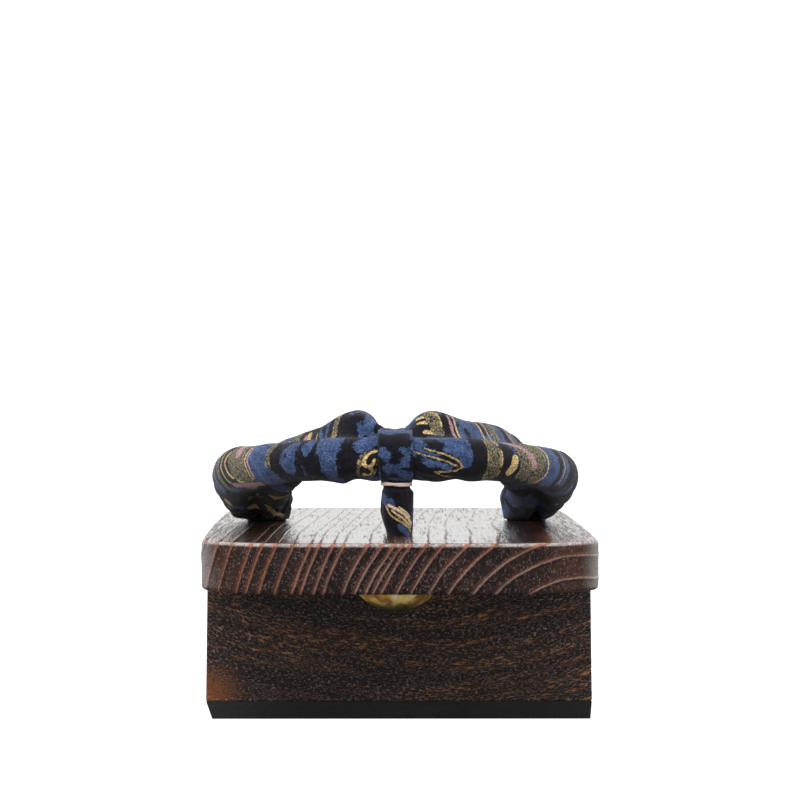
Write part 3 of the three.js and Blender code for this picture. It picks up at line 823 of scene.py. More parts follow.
# Strokes of the post: round it from its front line, and height above the deck
POST_STROKES = [
    ("black", 3.2, [(-2, 12), (3, 10)]),
    ("black", 3.0, [(-4, 4), (-1, 1)]),
    ("blue", 1.2, [(-4.6, 11), (-3.6, 9)]),
    ("blue", 1.3, [(1.4, 2.2), (3.4, 0.4)]),
    ("blue", 0.7, [(-2.8, 9.4), (-1.4, 8.6)]),
    ("gold", 0.34, [(-3.3, 8.1), (-2.6, 6.4), (-1.6, 5.2), (1.7, 3.4), (4.8, 0.9)]),
    ("cream", 0.4, [(-2.6, 8.4), (0, 7.2), (1.8, 5.9), (4.4, 3.2)]),
    ("cream", 0.27, [(-1.6, 6.9), (1.3, 4.9), (4.2, 2.2)]),
    ("gold", 0.2, [(-0.6, 5.5), (1.6, 4.2), (4.0, 1.7)]),
    ("cream", 0.2, [(0.4, 7.9), (2.6, 6.3), (3.6, 5.0)]),
]


def build_front_loop():
    """The front loop: the band round the strap and the post under it, as one piece."""
    band, turn, width = band_surface()
    post, height, angle = post_surface()
    band_faces = grid_faces(BAND_STEPS, BAND_SIDES, wrap_rows=True, wrap_columns=True)
    post_points, post_faces = closed_tube(post, ring_middles(post), True, start=BAND_STEPS * BAND_SIDES)
    blocks = [band_faces] + post_faces
    band_round = np.where(turn > 0.55, turn - 1, turn) * BAND_LAP
    post_round = ((angle / (2 * np.pi) + 0.75) % 1 - 0.5) * POST_LAP
    band_uv = np.broadcast_arrays(width[None], band_round[:, None])
    post_uv = np.broadcast_arrays(post_round[None], height[:, None])
    band_fields = print_fields(*band_uv, BAND_STROKES, BAND_LAP)
    post_fields = print_fields(*post_uv, POST_STROKES, NO_WRAP)
    fields = {key: np.concatenate([band_fields[key].ravel(), post_fields[key].ravel(), [0, 0]])
              for key in INK_KEYS}
    u = np.concatenate([band_uv[0].ravel(), post_uv[0].ravel(), [0, 0]])
    v = np.concatenate([band_uv[1].ravel(), post_uv[1].ravel(), [0, 15]])
    corner = np.concatenate([stacked(u[block], v[block]).reshape(-1, 2) for block in blocks])
    new_piece("front_loop_cloth", np.vstack([band.reshape(-1, 3), post_points]), blocks, ["front_loop"],
              "printed_cloth", corner_uv=corner, values=fields)


def tube(path, radius, sides, closed):
    """A round tube along a path: circles square to it, with ends drawn to a point unless closed."""
    ahead = np.roll(path, -1, 0) - np.roll(path, 1, 0) if closed else np.gradient(path, axis=0)
    ahead /= np.linalg.norm(ahead, axis=1)[:, None]
    guide = np.array([0.13, 0.21, 0.97])
    first = np.cross(ahead, guide)
    first /= np.linalg.norm(first, axis=1)[:, None]
    second = np.cross(ahead, first)
    angle = np.linspace(0, 2 * np.pi, sides, endpoint=False)
    size = np.broadcast_to(np.asarray(radius, dtype=float), (len(path),))[:, None, None]
    ring = first[:, None] * np.cos(angle)[None, :, None] + second[:, None] * np.sin(angle)[None, :, None]
    return path[:, None] + size * ring


THREAD_TURNS = 3
THREAD_REACH = 4.1
THREAD_RISE = 0.6
THREAD_FULLNESS = 1.1


def build_thread():
    """The binding thread: a helix of a few close turns round the top of the post."""
    low, high = node_box("binding_thread")
    share = np.linspace(0, 1, 60 * THREAD_TURNS)
    angle = share * 2 * np.pi * THREAD_TURNS - np.pi / 2 - 0.24
    gauge = (high[2] - low[2]) / (2 * THREAD_TURNS) * THREAD_FULLNESS
    path = leaned(np.column_stack([
        THREAD_REACH * np.cos(angle),
        FRONT_HOLE_Y + THREAD_REACH * np.sin(angle),
        low[2] + gauge + THREAD_RISE + share * (high[2] - low[2] - 2 * gauge),
    ]))
    size = gauge * np.clip(np.minimum(share, 1 - share) * 40, 0.02, 1)
    points, faces = closed_tube(tube(path, size, 12, False), [path[0], path[-1]], True)
    new_piece("binding_thread_turns", points, faces, ["binding_thread"], "pale_thread")


CAP_RADIUS = 11.9
CAP_SHIFT = -1.0
CAP_HEIGHT = 7.1
CAP_WALL = 0.6
CAP_FLUTES = 16
FLUTE_DEPTH = 0.01
FOLD_DEPTH = 0.035
# Direction and width of the two deeper folds at the front of the rim
CAP_FOLDS = ((1.5 * np.pi - 0.02, 0.07), (1.5 * np.pi + 0.3, 0.09))


def build_cap():
    """The brass cap: a dome turned about the front hole, with flutes that deepen to a waved rim."""
    angle = np.linspace(0, 2 * np.pi, 256, endpoint=False)[None]
    out = np.linspace(0, 1, 26)[1:, None]
    wave = np.cos(CAP_FLUTES * angle + 0.6 + 1.2 * np.sin(2 * angle))
    fold = sum(bell(angle, direction, width) for direction, width in CAP_FOLDS)
    flute = 1 + out**2 * (FLUTE_DEPTH * wave + FOLD_DEPTH * fold)

    def dome(radius, height):
        arc = (radius**2 + height**2) / (2 * height)
        sweep = np.arcsin(min(radius / arc, 1.0))
        reach = arc * np.sin(out * sweep) * flute
        drop = height - arc * (1 - np.cos(out * sweep)) + 0.5 * out * (1 - out) * wave
        drop = np.where(out == 1, 0, drop)
        x = CAP_SHIFT + reach * np.cos(angle)
        return stacked(x, FRONT_HOLE_Y + reach * np.sin(angle), DECK_UNDER - drop)

    heights = (CAP_HEIGHT, CAP_HEIGHT - CAP_WALL)
    shell = np.concatenate([dome(CAP_RADIUS, heights[0]), dome(CAP_RADIUS - CAP_WALL, heights[1])[::-1]])
    tips = [(CAP_SHIFT, FRONT_HOLE_Y, DECK_UNDER - height) for height in heights]
    points, faces = closed_tube(shell, tips, True)
    new_piece("knot_cap_brass", points, faces, ["knot_cap"], "cap_brass")


KNOT_STEPS = 240
KNOT_SIDES = 20
KNOT_CORD = 2.7


def build_knot(name):
    """A cord knot under a rear hole: a closed trefoil tube, flattened to its solid's box."""
    low, high = node_box(name)
    t = np.linspace(0, 2 * np.pi, KNOT_STEPS, endpoint=False)
    path = np.column_stack([
        np.sin(t) + 2 * np.sin(2 * t), np.cos(t) - 2 * np.cos(2 * t), -1.1 * np.sin(3 * t),
    ])
    half = (high - low) / 2 - KNOT_CORD
    path = path / np.abs(path).max(axis=0) * half * (0.98, 0.98, 0.96) + (low + high) / 2
    points = tube(path, KNOT_CORD, KNOT_SIDES, True).reshape(-1, 3)
    faces = grid_faces(KNOT_STEPS, KNOT_SIDES, wrap_rows=True, wrap_columns=True)
    new_piece(name + "_cord", points, [faces[:, ::-1]], [name], "knot_cord")


# Materials

# Second tones of the finishes, as 0 to 255 values like those in the panel
# painted shadow on the dark flank of each deck ring
RING_PAINTED_SHADOW = (16, 10, 11)
RING_ON_TOP = (96, 58, 42)
# painted light: the deck's top is made a little paler where it faces up
TOP_PAINTED_LIGHT = (112, 86, 76)
# painted highlight along the deck's rounded top edge, pale between the rings and orange on them
RIM_HIGHLIGHT_PALE = (216, 200, 196)
RIM_HIGHLIGHT_ORANGE = (196, 128, 96)
DECK_PORE = (24, 15, 14)
# pale grain flecks of the teeth, painted bright as glints
TOOTH_FLECK_GLINT = (212, 178, 164)
TOOTH_CORNER = (190, 112, 64)
TOOTH_PORE = (24, 16, 14)
SEAM_DUST = (190, 170, 155)
RUBBER_SCUFF = (52, 51, 50)
WORN_BLACK = (26, 25, 36)
WORN_OLIVE = (146, 130, 94)
PEBBLE_GAP = (34, 32, 36)
GOLD_SHADE = (158, 126, 70)
THREAD_PALE = (240, 220, 206)
BRASS_STAIN = (222, 156, 66)
# painted shade in the brass cap's lobes
BRASS_LOBE_SHADE = (150, 108, 44)
BRASS_UNDER = (66, 68, 42)
BRASS_GLINT = (255, 250, 240)
TACK_SHADE = (58, 50, 32)
CORD_SHADE = (28, 27, 34)

# Places of marks on the surfaces, in metres: the bowl of the teeth's grain, the cap's rim and slanting
# crease, where highlights are painted, and its tack
GRAIN_MIDDLE = 0.006
GRAIN_BEND = 3.6
RIM_LEVELS = (0.0368, 0.0373)
CREASE_X = -0.0134
CREASE_SLANT = 0.35
TACK_X = 0.0014
TACK_HEIGHT = 0.0322


def linear(colour):
    """A colour of 0 to 255 sRGB values as linear light with full alpha."""
    share = np.array(colour, dtype=float) / 255
    light = np.where(share <= 0.04045, share / 12.92, ((share + 0.055) / 1.055) ** 2.4)
    return (*light.tolist(), 1.0)


class Shader:
    """Short forms for adding nodes to a tree. Values are numbers or sockets."""

    def __init__(self, tree):
        self.tree = tree

    def node(self, kind, inputs=None, **settings):
        made = self.tree.nodes.new(kind)
        for key, value in settings.items():
            setattr(made, key, value)
        for key, value in (inputs or {}).items():
            self.feed(made.inputs[key], value)
        return made

    def feed(self, socket, value):
        if isinstance(value, bpy.types.NodeSocket):
            self.tree.links.new(value, socket)
        else:
            socket.default_value = value

    def finish(self, values):
        surface = self.tree.nodes["Principled BSDF"]
        for key, value in values.items():
            self.feed(surface.inputs[key], value)

    def group(self, name, maker, inputs):
        """Outputs of a node of a group that is made once and shared."""
        tree = bpy.data.node_groups.get(name) or maker()
        return self.node("ShaderNodeGroup", inputs, node_tree=tree).outputs

    def math(self, operation, *values, clamp=False):
        """One operation, repeated from left to right when there are more than two values."""
        made = self.node("ShaderNodeMath", operation=operation, use_clamp=clamp)
        for socket, value in zip(made.inputs, values[:2]):
            self.feed(socket, value)
        result = made.outputs[0]
        return self.math(operation, result, *values[2:]) if len(values) > 2 else result

    def plus(self, *values):
        return self.math("ADD", *values)

    def minus(self, *values):
        return self.math("SUBTRACT", *values)

    def times(self, *values):
        return self.math("MULTIPLY", *values)

    def most(self, *values):
        return self.math("MAXIMUM", *values)

    def size(self, value):
        """A value without its sign."""
        return self.math("ABSOLUTE", value)

    def mix(self, share, first, second, blend="MIX"):
        """Two colours mixed, each a socket or 0 to 255 values."""
        made = self.node("ShaderNodeMix", data_type="RGBA", blend_type=blend)
        self.feed(made.inputs[0], share)
        for socket, value in ((made.inputs[6], first), (made.inputs[7], second)):
            self.feed(socket, value if isinstance(value, bpy.types.NodeSocket) else linear(value))
        return made.outputs[2]

    def layered(self, colour, *layers):
        """A colour with others laid over it in order, each a share and a colour."""
        for share, layer in layers:
            colour = self.mix(share, colour, layer)
        return colour

    def step(self, value, low, high, out_low=0.0, out_high=1.0):
        """A smooth step from out_low at low to out_high at high."""
        made = self.node("ShaderNodeMapRange", interpolation_type="SMOOTHSTEP")
        for socket, number in zip(made.inputs[:5], (value, low, high, out_low, out_high)):
            self.feed(socket, number)
        return made.outputs[0]

    def fall(self, value, low, high):
        """A smooth step from one down to nothing."""
        return self.step(value, low, high, 1.0, 0.0)

    def noise(self, vector, scale, detail, roughness):
        inputs = {"Vector": vector, "Scale": scale, "Detail": detail, "Roughness": roughness}
        return self.node("ShaderNodeTexNoise", inputs).outputs[0]

    def scaled(self, vector, scale, location=(0, 0, 0)):
        inputs = {"Vector": vector, "Scale": scale, "Location": location}
        return self.node("ShaderNodeMapping", inputs).outputs[0]

    def grain(self, vector, scale, detail, roughness):
        """Noise with its own scale on each axis."""
        return self.noise(self.scaled(vector, scale), 1.0, detail, roughness)

    def bump(self, height, distance, strength, under=None):
        inputs = {"Height": height, "Distance": distance, "Strength": strength}
        if under is not None:
            inputs["Normal"] = under
        return self.node("ShaderNodeBump", inputs).outputs[0]

    def split(self, vector):
        return tuple(self.node("ShaderNodeSeparateXYZ", {"Vector": vector}).outputs)

    def field(self, name):
        return self.node("ShaderNodeAttribute", attribute_name=name).outputs["Fac"]


def new_material(name):
    """A material, its tree's short forms and its Object coordinates."""
    material = bpy.data.materials.new("finish_" + name)
    material.use_nodes = True
    shader = Shader(material.node_tree)
    return material, shader, shader.node("ShaderNodeTexCoord").outputs["Object"]


def new_group(name, inputs, outputs):
    """A shader node group with named float or vector inputs and float outputs."""
    tree = bpy.data.node_groups.new(name, "ShaderNodeTree")
    kinds = {"float": "NodeSocketFloat", "vector": "NodeSocketVector"}
    for socket, kind in inputs.items():
        tree.interface.new_socket(socket, in_out="INPUT", socket_type=kinds[kind])
    for socket in outputs:
        tree.interface.new_socket(socket, in_out="OUTPUT", socket_type=kinds["float"])
    shader = Shader(tree)
    return tree, shader, shader.node("NodeGroupInput").outputs, shader.node("NodeGroupOutput").inputs


def weave_group():
    """Cloth weave: two crossing sets of thread ridges in millimetre coordinates, with uneven yarn."""
    tree, shader, entry, leave = new_group(
        "cloth_weave", {"Vector": "vector", "Threads": "float"}, ("Height", "Shade"))
    u, v, _ = shader.split(entry["Vector"])
    pitch = shader.times(entry["Threads"], 2 * np.pi)
    warp, weft = (shader.math("SINE", shader.times(way, pitch)) for way in (u, v))
    yarn = shader.noise(entry["Vector"], 3.0, 3.0, 0.7)
    height = shader.plus(shader.times(warp, weft, 0.5), yarn)
    shader.feed(leave["Height"], height)
    shader.feed(leave["Shade"], shader.step(height, 0.1, 0.9, 0.72, 1.2))
    return tree


def pore_group():
    """Wood pores: fine noise drawn out along one direction, as a height and a dark mask."""
    tree, shader, entry, leave = new_group(
        "wood_pores", {"Vector": "vector", "Scale": "float"}, ("Height", "Dark"))
    fine = shader.noise(entry["Vector"], entry["Scale"], 4.0, 0.65)
    speck = shader.node("ShaderNodeTexVoronoi", {"Vector": entry["Vector"], "Scale": entry["Scale"]})
    shader.feed(leave["Height"], shader.plus(fine, shader.times(speck.outputs["Distance"], 0.5)))
    shader.feed(leave["Dark"], shader.step(fine, 0.42, 0.6))
    return tree


def finish_deck(shader, place, colours):
    """Deck: raised orange rings on dark burned wood, under a clear glossy coat.

    On top the coat is worn along the rings and between the pores, so brown lines break its gloss.
    The ends face the toe and carry less of it, and the flanks, which face sideways, all of it.
    """
    x, y, z = shader.split(place)
    facing = shader.split(shader.node("ShaderNodeNewGeometry").outputs["Normal"])
    facing_up = shader.step(facing[2], 0.4, 0.9)
    wobble = shader.grain(place, (900, 110, 900), 3.0, 0.65)
    patch = shader.noise(shader.scaled(place, (1, 1, 1), (0.3, 0.1, 0.2)), 45.0, 3.0, 0.6)
    cloudy = shader.noise(place, 140.0, 5.0, 0.7)
    grit = shader.noise(shader.scaled(place, (1, 0.2, 0.8)), 1900.0, 3.0, 0.75)
    tone = shader.plus(shader.times(cloudy, 0.35), shader.times(grit, 0.65))

    # millimetres from the nearest ring's line, and the ring with its two flanks: painted light on the lit
    # flank and a painted shadow on the dark one
    number = shader.field("ring_number")
    off_ring = shader.times(shader.minus(number, shader.math("ROUND", number)), shader.field("ring_gap"))
    off_ring = shader.minus(shader.plus(off_ring, shader.times(wobble, 0.4)), 0.2)
    away = shader.plus(shader.size(off_ring), shader.times(shader.minus(patch, 0.5), 0.3))
    ridge = shader.fall(away, 0.1, 0.42)
    lit_flank = shader.times(shader.step(off_ring, 0.1, 0.3), shader.fall(off_ring, 0.35, 1.25))
    shadow_flank = shader.times(shader.step(off_ring, -1.6, -0.45), shader.fall(off_ring, -0.4, -0.15))

    side = shader.size(shader.plus(x, 0.002))
    warm = shader.times(shader.step(side, 0.036, 0.053), shader.step(patch, 0.3, 0.65, 0.35, 0.9))
    speck = shader.times(shader.step(grit, 0.55, 0.66), shader.step(patch, 0.3, 0.55, 0.5, 0.9))
    high = shader.times(shader.step(z, 0.044, 0.0512), 0.8)
    left = shader.step(x, 0.0, -0.04, 0.0, 0.85)
    line = shader.mix(shader.most(high, left), colours.ring_pale, colours.ring_orange)
    line = shader.mix(facing_up, line, RING_ON_TOP)
    # painted highlight along the rounded top edge, broken by the wood's tone, orange on the rings and pale
    # between them
    edge = shader.times(shader.step(facing[2], 0.1, 0.5), shader.fall(facing[2], 0.8, 0.99),
                        shader.step(tone, 0.38, 0.55, 0.3, 0.9))
    rim_highlight = shader.mix(shader.most(ridge, lit_flank), RIM_HIGHLIGHT_PALE, RIM_HIGHLIGHT_ORANGE)
    along = shader.scaled(place, (1, 0.16, 1))
    pore = shader.group("wood_pores", pore_group, {"Vector": along, "Scale": 2400.0})
    wood = shader.mix(shader.step(tone, 0.4, 0.62), colours.deck_dark, colours.deck_brown)
    wood = shader.layered(
        wood,
        (warm, colours.deck_warm),
        # painted light on the lit flank of each ring, painted shadow on the dark flank
        (shader.times(lit_flank, 0.75), colours.ring_flank),
        (shader.times(shadow_flank, 0.75), RING_PAINTED_SHADOW),
        (speck, colours.deck_speck),
        # painted light on the top, where it faces up
        (shader.times(facing_up, 0.22), TOP_PAINTED_LIGHT),
        (shader.times(ridge, shader.step(cloudy, 0.2, 0.55, 0.4, 1.0)), line),
        (edge, rim_highlight),
        (shader.times(pore["Dark"], 0.45), DECK_PORE),
    )

    # where the coat is worn off the top
    streak = shader.grain(place, (1700, 45, 300), 3.0, 0.7)
    bare = shader.times(shader.step(streak, 0.5, 0.68), shader.step(patch, 0.36, 0.6, 0.0, 0.65))
    bare_ring = shader.times(shader.step(y, -0.12, -0.02, 0.8, 0.35), ridge, shader.step(streak, 0.35, 0.5))
    border = shader.times(shader.step(side, 0.038, 0.050), shader.step(streak, 0.38, 0.58), 0.55)
    worn = shader.times(shader.most(bare, bare_ring, border), facing_up)
    sideways = shader.step(shader.size(facing[0]), 0.8, 0.98, 0.16, 1.0)

    specks = shader.noise(shader.scaled(place, (1, 0.3, 1)), 1900.0, 3.0, 0.7)
    swell = shader.grain(place, (620, 26, 300), 2.0, 0.5)
    coat_height = shader.plus(specks, shader.times(ridge, 0.9), shader.times(swell, 1.4))
    coat_height = shader.times(coat_height, shader.step(facing_up, 0.0, 1.0, 1.0, 0.8))
    shader.finish({
        "Base Color": wood,
        "Roughness": 0.55,
        "Specular IOR Level": 0.0,
        "Normal": shader.bump(ridge, 0.0003, 0.6, shader.bump(pore["Height"], 0.0003, 0.6)),
        "Coat Weight": shader.math("SUBTRACT", shader.most(sideways, facing_up), worn, clamp=True),
        "Coat Roughness": 0.09,
        "Coat IOR": 1.85,
        "Coat Normal": shader.bump(coat_height, 0.00035, 0.8),
    })


def finish_teeth(shader, place, colours):
    """Teeth: burned flat-sawn wood, with grain in shallow bowls, short lit dashes along it and pale grain
    flecks painted bright as glints.
    """
    x, y, z = shader.split(place)
    off = shader.minus(x, GRAIN_MIDDLE)
    drift = shader.grain(place, (26, 26, 60), 2.0, 0.5)
    level = shader.plus(shader.minus(z, shader.times(off, off, GRAIN_BEND)), shader.times(drift, 0.006))
    flow = shader.node("ShaderNodeCombineXYZ", {"X": x, "Y": y, "Z": level}).outputs[0]
    layer = shader.grain(flow, (20, 20, 420), 3.0, 0.55)
    zone = shader.plus(shader.grain(place, (22, 22, 40), 1.0, 0.5),
                       shader.times(shader.step(level, 0.034, 0.029), 0.3))
    zone = shader.minus(zone, shader.step(level, 0.021, 0.014, 0.0, 0.25))
    dash = shader.times(shader.step(shader.grain(flow, (420, 420, 3300), 2.0, 0.5), 0.56, 0.64),
                        shader.step(layer, 0.46, 0.58), shader.step(zone, 0.4, 0.8, 0.08, 1.0))
    fleck_noise = shader.grain(flow, (1100, 1100, 2400), 3.0, 0.7)
    # grain flecks, painted bright as glints
    glint_fleck = shader.step(fleck_noise, 0.5, 0.64)
    corner = shader.times(shader.step(x, -0.041, -0.053), shader.step(z, 0.018, 0.006),
                          shader.step(fleck_noise, 0.3, 0.6, 0.6, 1.0), shader.step(y, -0.050, -0.058), 0.85)
    dust_noise = shader.noise(place, 1400.0, 2.0, 0.6)
    dust = shader.times(shader.step(z, 0.0062, 0.0052), shader.step(dust_noise, 0.58, 0.66), 0.7)
    along = shader.scaled(flow, (0.5, 0.5, 1))
    pore = shader.group("wood_pores", pore_group, {"Vector": along, "Scale": 2200.0})
    wood = shader.mix(shader.step(layer, 0.35, 0.7), colours.tooth_dark, colours.tooth_brown)
    wood = shader.layered(
        wood,
        (shader.times(glint_fleck, 0.68), TOOTH_FLECK_GLINT),
        (shader.times(dash, 0.85), colours.tooth_dash),
        (corner, TOOTH_CORNER),
        (shader.times(pore["Dark"], 0.4), TOOTH_PORE),
        (dust, SEAM_DUST),
    )
    relief = shader.plus(pore["Height"], shader.times(layer, 1.5), shader.times(glint_fleck, 0.7),
                         shader.times(dash, 0.6))
    shader.finish({
        "Base Color": wood,
        "Roughness": shader.step(pore["Height"], 0.4, 1.0, 0.3, 0.55),
        "Specular IOR Level": 0.4,
        "Normal": shader.bump(relief, 0.0005, 0.9),
    })


def finish_rubber(shader, place, colours):
    """Rubber soles: even charcoal with a fine tooth and faint scuffs."""
    fine = shader.noise(place, 1800.0, 3.0, 0.6)
    scuff = shader.grain(place, (60, 60, 400), 3.0, 0.6)
    shader.finish({
        "Base Color": shader.mix(shader.step(scuff, 0.45, 0.75), colours.rubber, RUBBER_SCUFF),
        "Roughness": shader.step(fine, 0.3, 0.7, 0.75, 0.95),
        "Specular IOR Level": 0.3,
        "Normal": shader.bump(fine, 0.00015, 0.5),
    })


def finish_cloth(shader, place, colours):
    """Strap and loop: black and blue ground with olive, gold, pink and cream print over a plain weave.

    Its coordinates are the cloth's own millimetres, so place is not used.
    """
    uv = shader.node("ShaderNodeUVMap", uv_map="cloth_mm").outputs[0]
    threads = shader.group("cloth_weave", weave_group, {"Vector": uv, "Threads": 2.2})
    fray = shader.minus(shader.noise(uv, 1.6, 4.0, 0.75), 0.5)
    worn = shader.noise(uv, 0.5, 4.0, 0.7)
    faded = shader.step(worn, 0.3, 0.7)

    def frayed(ink, amount):
        return shader.plus(shader.field("print_" + ink), shader.times(fray, amount))

    pebble = shader.node("ShaderNodeTexVoronoi", {"Vector": uv, "Scale": 1.6}, feature="DISTANCE_TO_EDGE")
    olive = shader.mix(faded, colours.cloth_olive, WORN_OLIVE)
    olive = shader.mix(shader.step(pebble.outputs[0], 0.03, 0.15), PEBBLE_GAP, olive)
    olive_edge = frayed("olive", 1.2)
    olive_rim = shader.step(shader.size(shader.minus(olive_edge, 0.15)), 0.1, 0.3, 0.6, 0.0)
    brocade = shader.grain(uv, (1.2, 7, 1), 2.0, 0.6)
    gold = shader.mix(shader.step(brocade, 0.35, 0.65), GOLD_SHADE, colours.cloth_gold)
    colour = shader.layered(
        shader.mix(faded, colours.cloth_black, WORN_BLACK),
        (shader.step(frayed("blue", 2.6), -0.15, 0.15),
         shader.mix(faded, colours.cloth_blue_deep, colours.cloth_blue)),
        (shader.step(olive_edge, -0.1, 0.1), olive),
        (shader.times(olive_rim, shader.step(worn, 0.46, 0.6)), gold),
        (shader.step(frayed("gold", 0.7), 0.0, 0.2), gold),
        (shader.step(frayed("pink", 0.9), -0.12, 0.12, 0.0, 0.9), colours.cloth_pink),
        (shader.step(frayed("cream", 0.6), -0.1, 0.1), colours.cloth_cream),
    )
    mottle = shader.step(shader.noise(uv, 2.4, 2.0, 0.6), 0.3, 0.7, 0.5, 1.65)
    shader.finish({
        "Base Color": shader.mix(1.0, colour, shader.times(threads["Shade"], mottle), blend="MULTIPLY"),
        "Roughness": 0.85,
        "Specular IOR Level": 0.15,
        "Sheen Weight": 0.2,
        "Sheen Roughness": 0.4,
        "Normal": shader.bump(threads["Height"], 0.00018, 0.7),
    })


def finish_thread(shader, place, colours):
    """Binding thread: pale twisted yarn."""
    twist = shader.grain(place, (900, 900, 2400), 2.0, 0.5)
    shader.finish({
        "Base Color": shader.mix(twist, colours.thread, THREAD_PALE),
        "Roughness": 0.7,
        "Sheen Weight": 0.2,
        "Normal": shader.bump(twist, 0.0001, 0.6),
    })


def finish_brass(shader, place, colours):
    """Brass cap: aged gold with painted shade in lobes, dark below, with painted highlights on the rim and a
    crease, a tack and scratches.
    """
    x, y, z = shader.split(place)
    stain = shader.noise(place, 170.0, 4.0, 0.6)
    # painted shade: darker lobes across the dome
    lobe_shade = shader.grain(place, (230, 230, 90), 2.0, 0.5)
    notch = shader.grain(place, (260, 260, 0), 2.0, 0.5)
    # painted highlights: a broken bright line on the rim and a line along a slanting crease
    rim_highlight = shader.times(shader.step(z, *RIM_LEVELS), shader.step(notch, 0.4, 0.48))
    off_crease = shader.size(shader.plus(x, shader.times(z, -CREASE_SLANT), -CREASE_X))
    crease = shader.times(shader.fall(off_crease, 0.0002, 0.0007), shader.step(z, 0.0340, 0.0352))
    aside = shader.minus(x, TACK_X)
    below = shader.minus(z, TACK_HEIGHT)
    off_tack = shader.math("SQRT", shader.plus(shader.times(aside, aside), shader.times(below, below)))
    hollow = shader.times(shader.fall(off_tack, 0.0004, 0.0009), shader.step(y, -0.078, -0.079))
    colour = shader.mix(shader.step(stain, 0.4, 0.6), colours.brass, BRASS_STAIN)
    colour = shader.layered(
        colour,
        (shader.step(lobe_shade, 0.42, 0.6), BRASS_LOBE_SHADE),
        (shader.fall(shader.plus(z, shader.times(lobe_shade, 0.002)), 0.0322, 0.0352), BRASS_UNDER),
        (shader.times(shader.most(rim_highlight, crease), 0.95), BRASS_GLINT),
        (shader.times(hollow, 0.7), TACK_SHADE),
    )
    scratch = shader.minus(shader.grain(place, (2500, 300, 900), 2.0, 0.5), shader.times(hollow, 6.0))
    shader.finish({
        "Base Color": colour,
        "Metallic": 0.1,
        "Roughness": shader.step(stain, 0.3, 0.7, 0.26, 0.42),
        "Normal": shader.bump(scratch, 0.00008, 0.6),
    })


def finish_cord(shader, place, colours):
    """Rear knots: dark plain cord with a twisted lay."""
    lay = shader.grain(place, (700, 700, 1600), 3.0, 0.6)
    shader.finish({
        "Base Color": shader.mix(lay, CORD_SHADE, colours.cord),
        "Roughness": 0.85,
        "Normal": shader.bump(lay, 0.0003, 0.7),
    })


FINISHES = {
    "deck_lacquer": finish_deck,
    "burned_wood": finish_teeth,
    "sole_rubber": finish_rubber,
    "printed_cloth": finish_cloth,
    "pale_thread": finish_thread,
    "cap_brass": finish_brass,
    "knot_cord": finish_cord,
}


def finish_of(slot):
    """The finish of a slot, made once and shared."""
    material = bpy.data.materials.get("finish_" + slot)
    if material is None:
        material, shader, place = new_material(slot)
        FINISHES[slot](shader, place, bpy.context.scene.geta_colours)
    return material


# Stage

CAMERA_PLACE = (-0.0110, -1.425, 0.1104)
LOOK_ASIDE = 0.00826
LOOK_DOWN = 0.01614
LENS = 221.7
SENSOR_WIDTH = 36.0
FLOOR_REACH = 6.0
WHITE = (255, 255, 255)
BLACK = (0, 0, 0)


def build_floor():
    """A plain pale floor that reaches past the view on all sides, and is clear from below."""
    corners = [(x * FLOOR_REACH, y * FLOOR_REACH, 0) for x, y in ((-1, -1), (1, -1), (1, 1), (-1, 1))]
    mesh = bpy.data.meshes.new("floor")
    mesh.from_pydata(corners, [], [(0, 1, 2, 3)])
    floor = bpy.data.objects.new("floor", mesh)
    bpy.context.scene.collection.objects.link(floor)
    material, shader, _ = new_material("pale_floor")
    seen = shader.node("ShaderNodeLightPath").outputs["Is Camera Ray"]
    below = shader.node("ShaderNodeNewGeometry").outputs["Backfacing"]
    shader.finish({
        "Base Color": (0.42, 0.42, 0.42, 1),
        "Roughness": 0.9,
        "Specular IOR Level": 0.0,
        "Emission Strength": 1.0,
        "Emission Color": shader.mix(seen, BLACK, WHITE),
        "Alpha": shader.minus(1.0, below),
    })
    mesh.materials.append(material)


def build_world():
    """White all round for the eye, and for the surfaces a bright back and top and a dimmer front."""
    world = bpy.data.worlds.new("studio")
    world.use_nodes = True
    bpy.context.scene.world = world
    shader = Shader(world.node_tree)
    _, y, z = shader.split(shader.node("ShaderNodeTexCoord").outputs["Generated"])
    light = shader.most(shader.step(y, -0.35, 0.25), shader.step(z, 0.15, 0.9))
    glow = shader.plus(shader.times(light, 0.96), 0.12)
    seen = shader.node("ShaderNodeLightPath").outputs["Is Camera Ray"]
    strength = shader.plus(shader.times(glow, shader.minus(1.0, seen)), shader.times(seen, 1.05))
    background = world.node_tree.nodes["Background"]
    background.inputs["Color"].default_value = linear(WHITE)
    shader.feed(background.inputs["Strength"], strength)


def add_area(name, place, target, size, power):
    """A soft rectangular light that faces its target."""
    light = bpy.data.lights.new(name, "AREA")
    light.shape = "RECTANGLE"
    light.size, light.size_y = size
    light.energy = power
    lamp = bpy.data.objects.new(name, light)
    lamp.location = place
    lamp.rotation_euler = (Vector(target) - Vector(place)).to_track_quat("-Z", "Y").to_euler()
    bpy.context.scene.collection.objects.link(lamp)


def build_lights(powers):
    """A key light above the toe, and on each side a soft light and an upright strip in front."""
    add_area("key", (-0.25, -0.9, 0.95), (0, -0.02, 0.05), (0.8, 0.6), powers.key_power)
    for side, name in ((-1, "left"), (1, "right")):
        add_area(name, (side * 0.9, -0.35, 0.35), (0, -0.05, 0.05), (0.5, 0.6), powers.side_power)
        add_area(name + "_strip", (side * 0.5, -1.3, 0.22), (0, -0.1, 0.03), (0.12, 0.7), powers.strip_power)


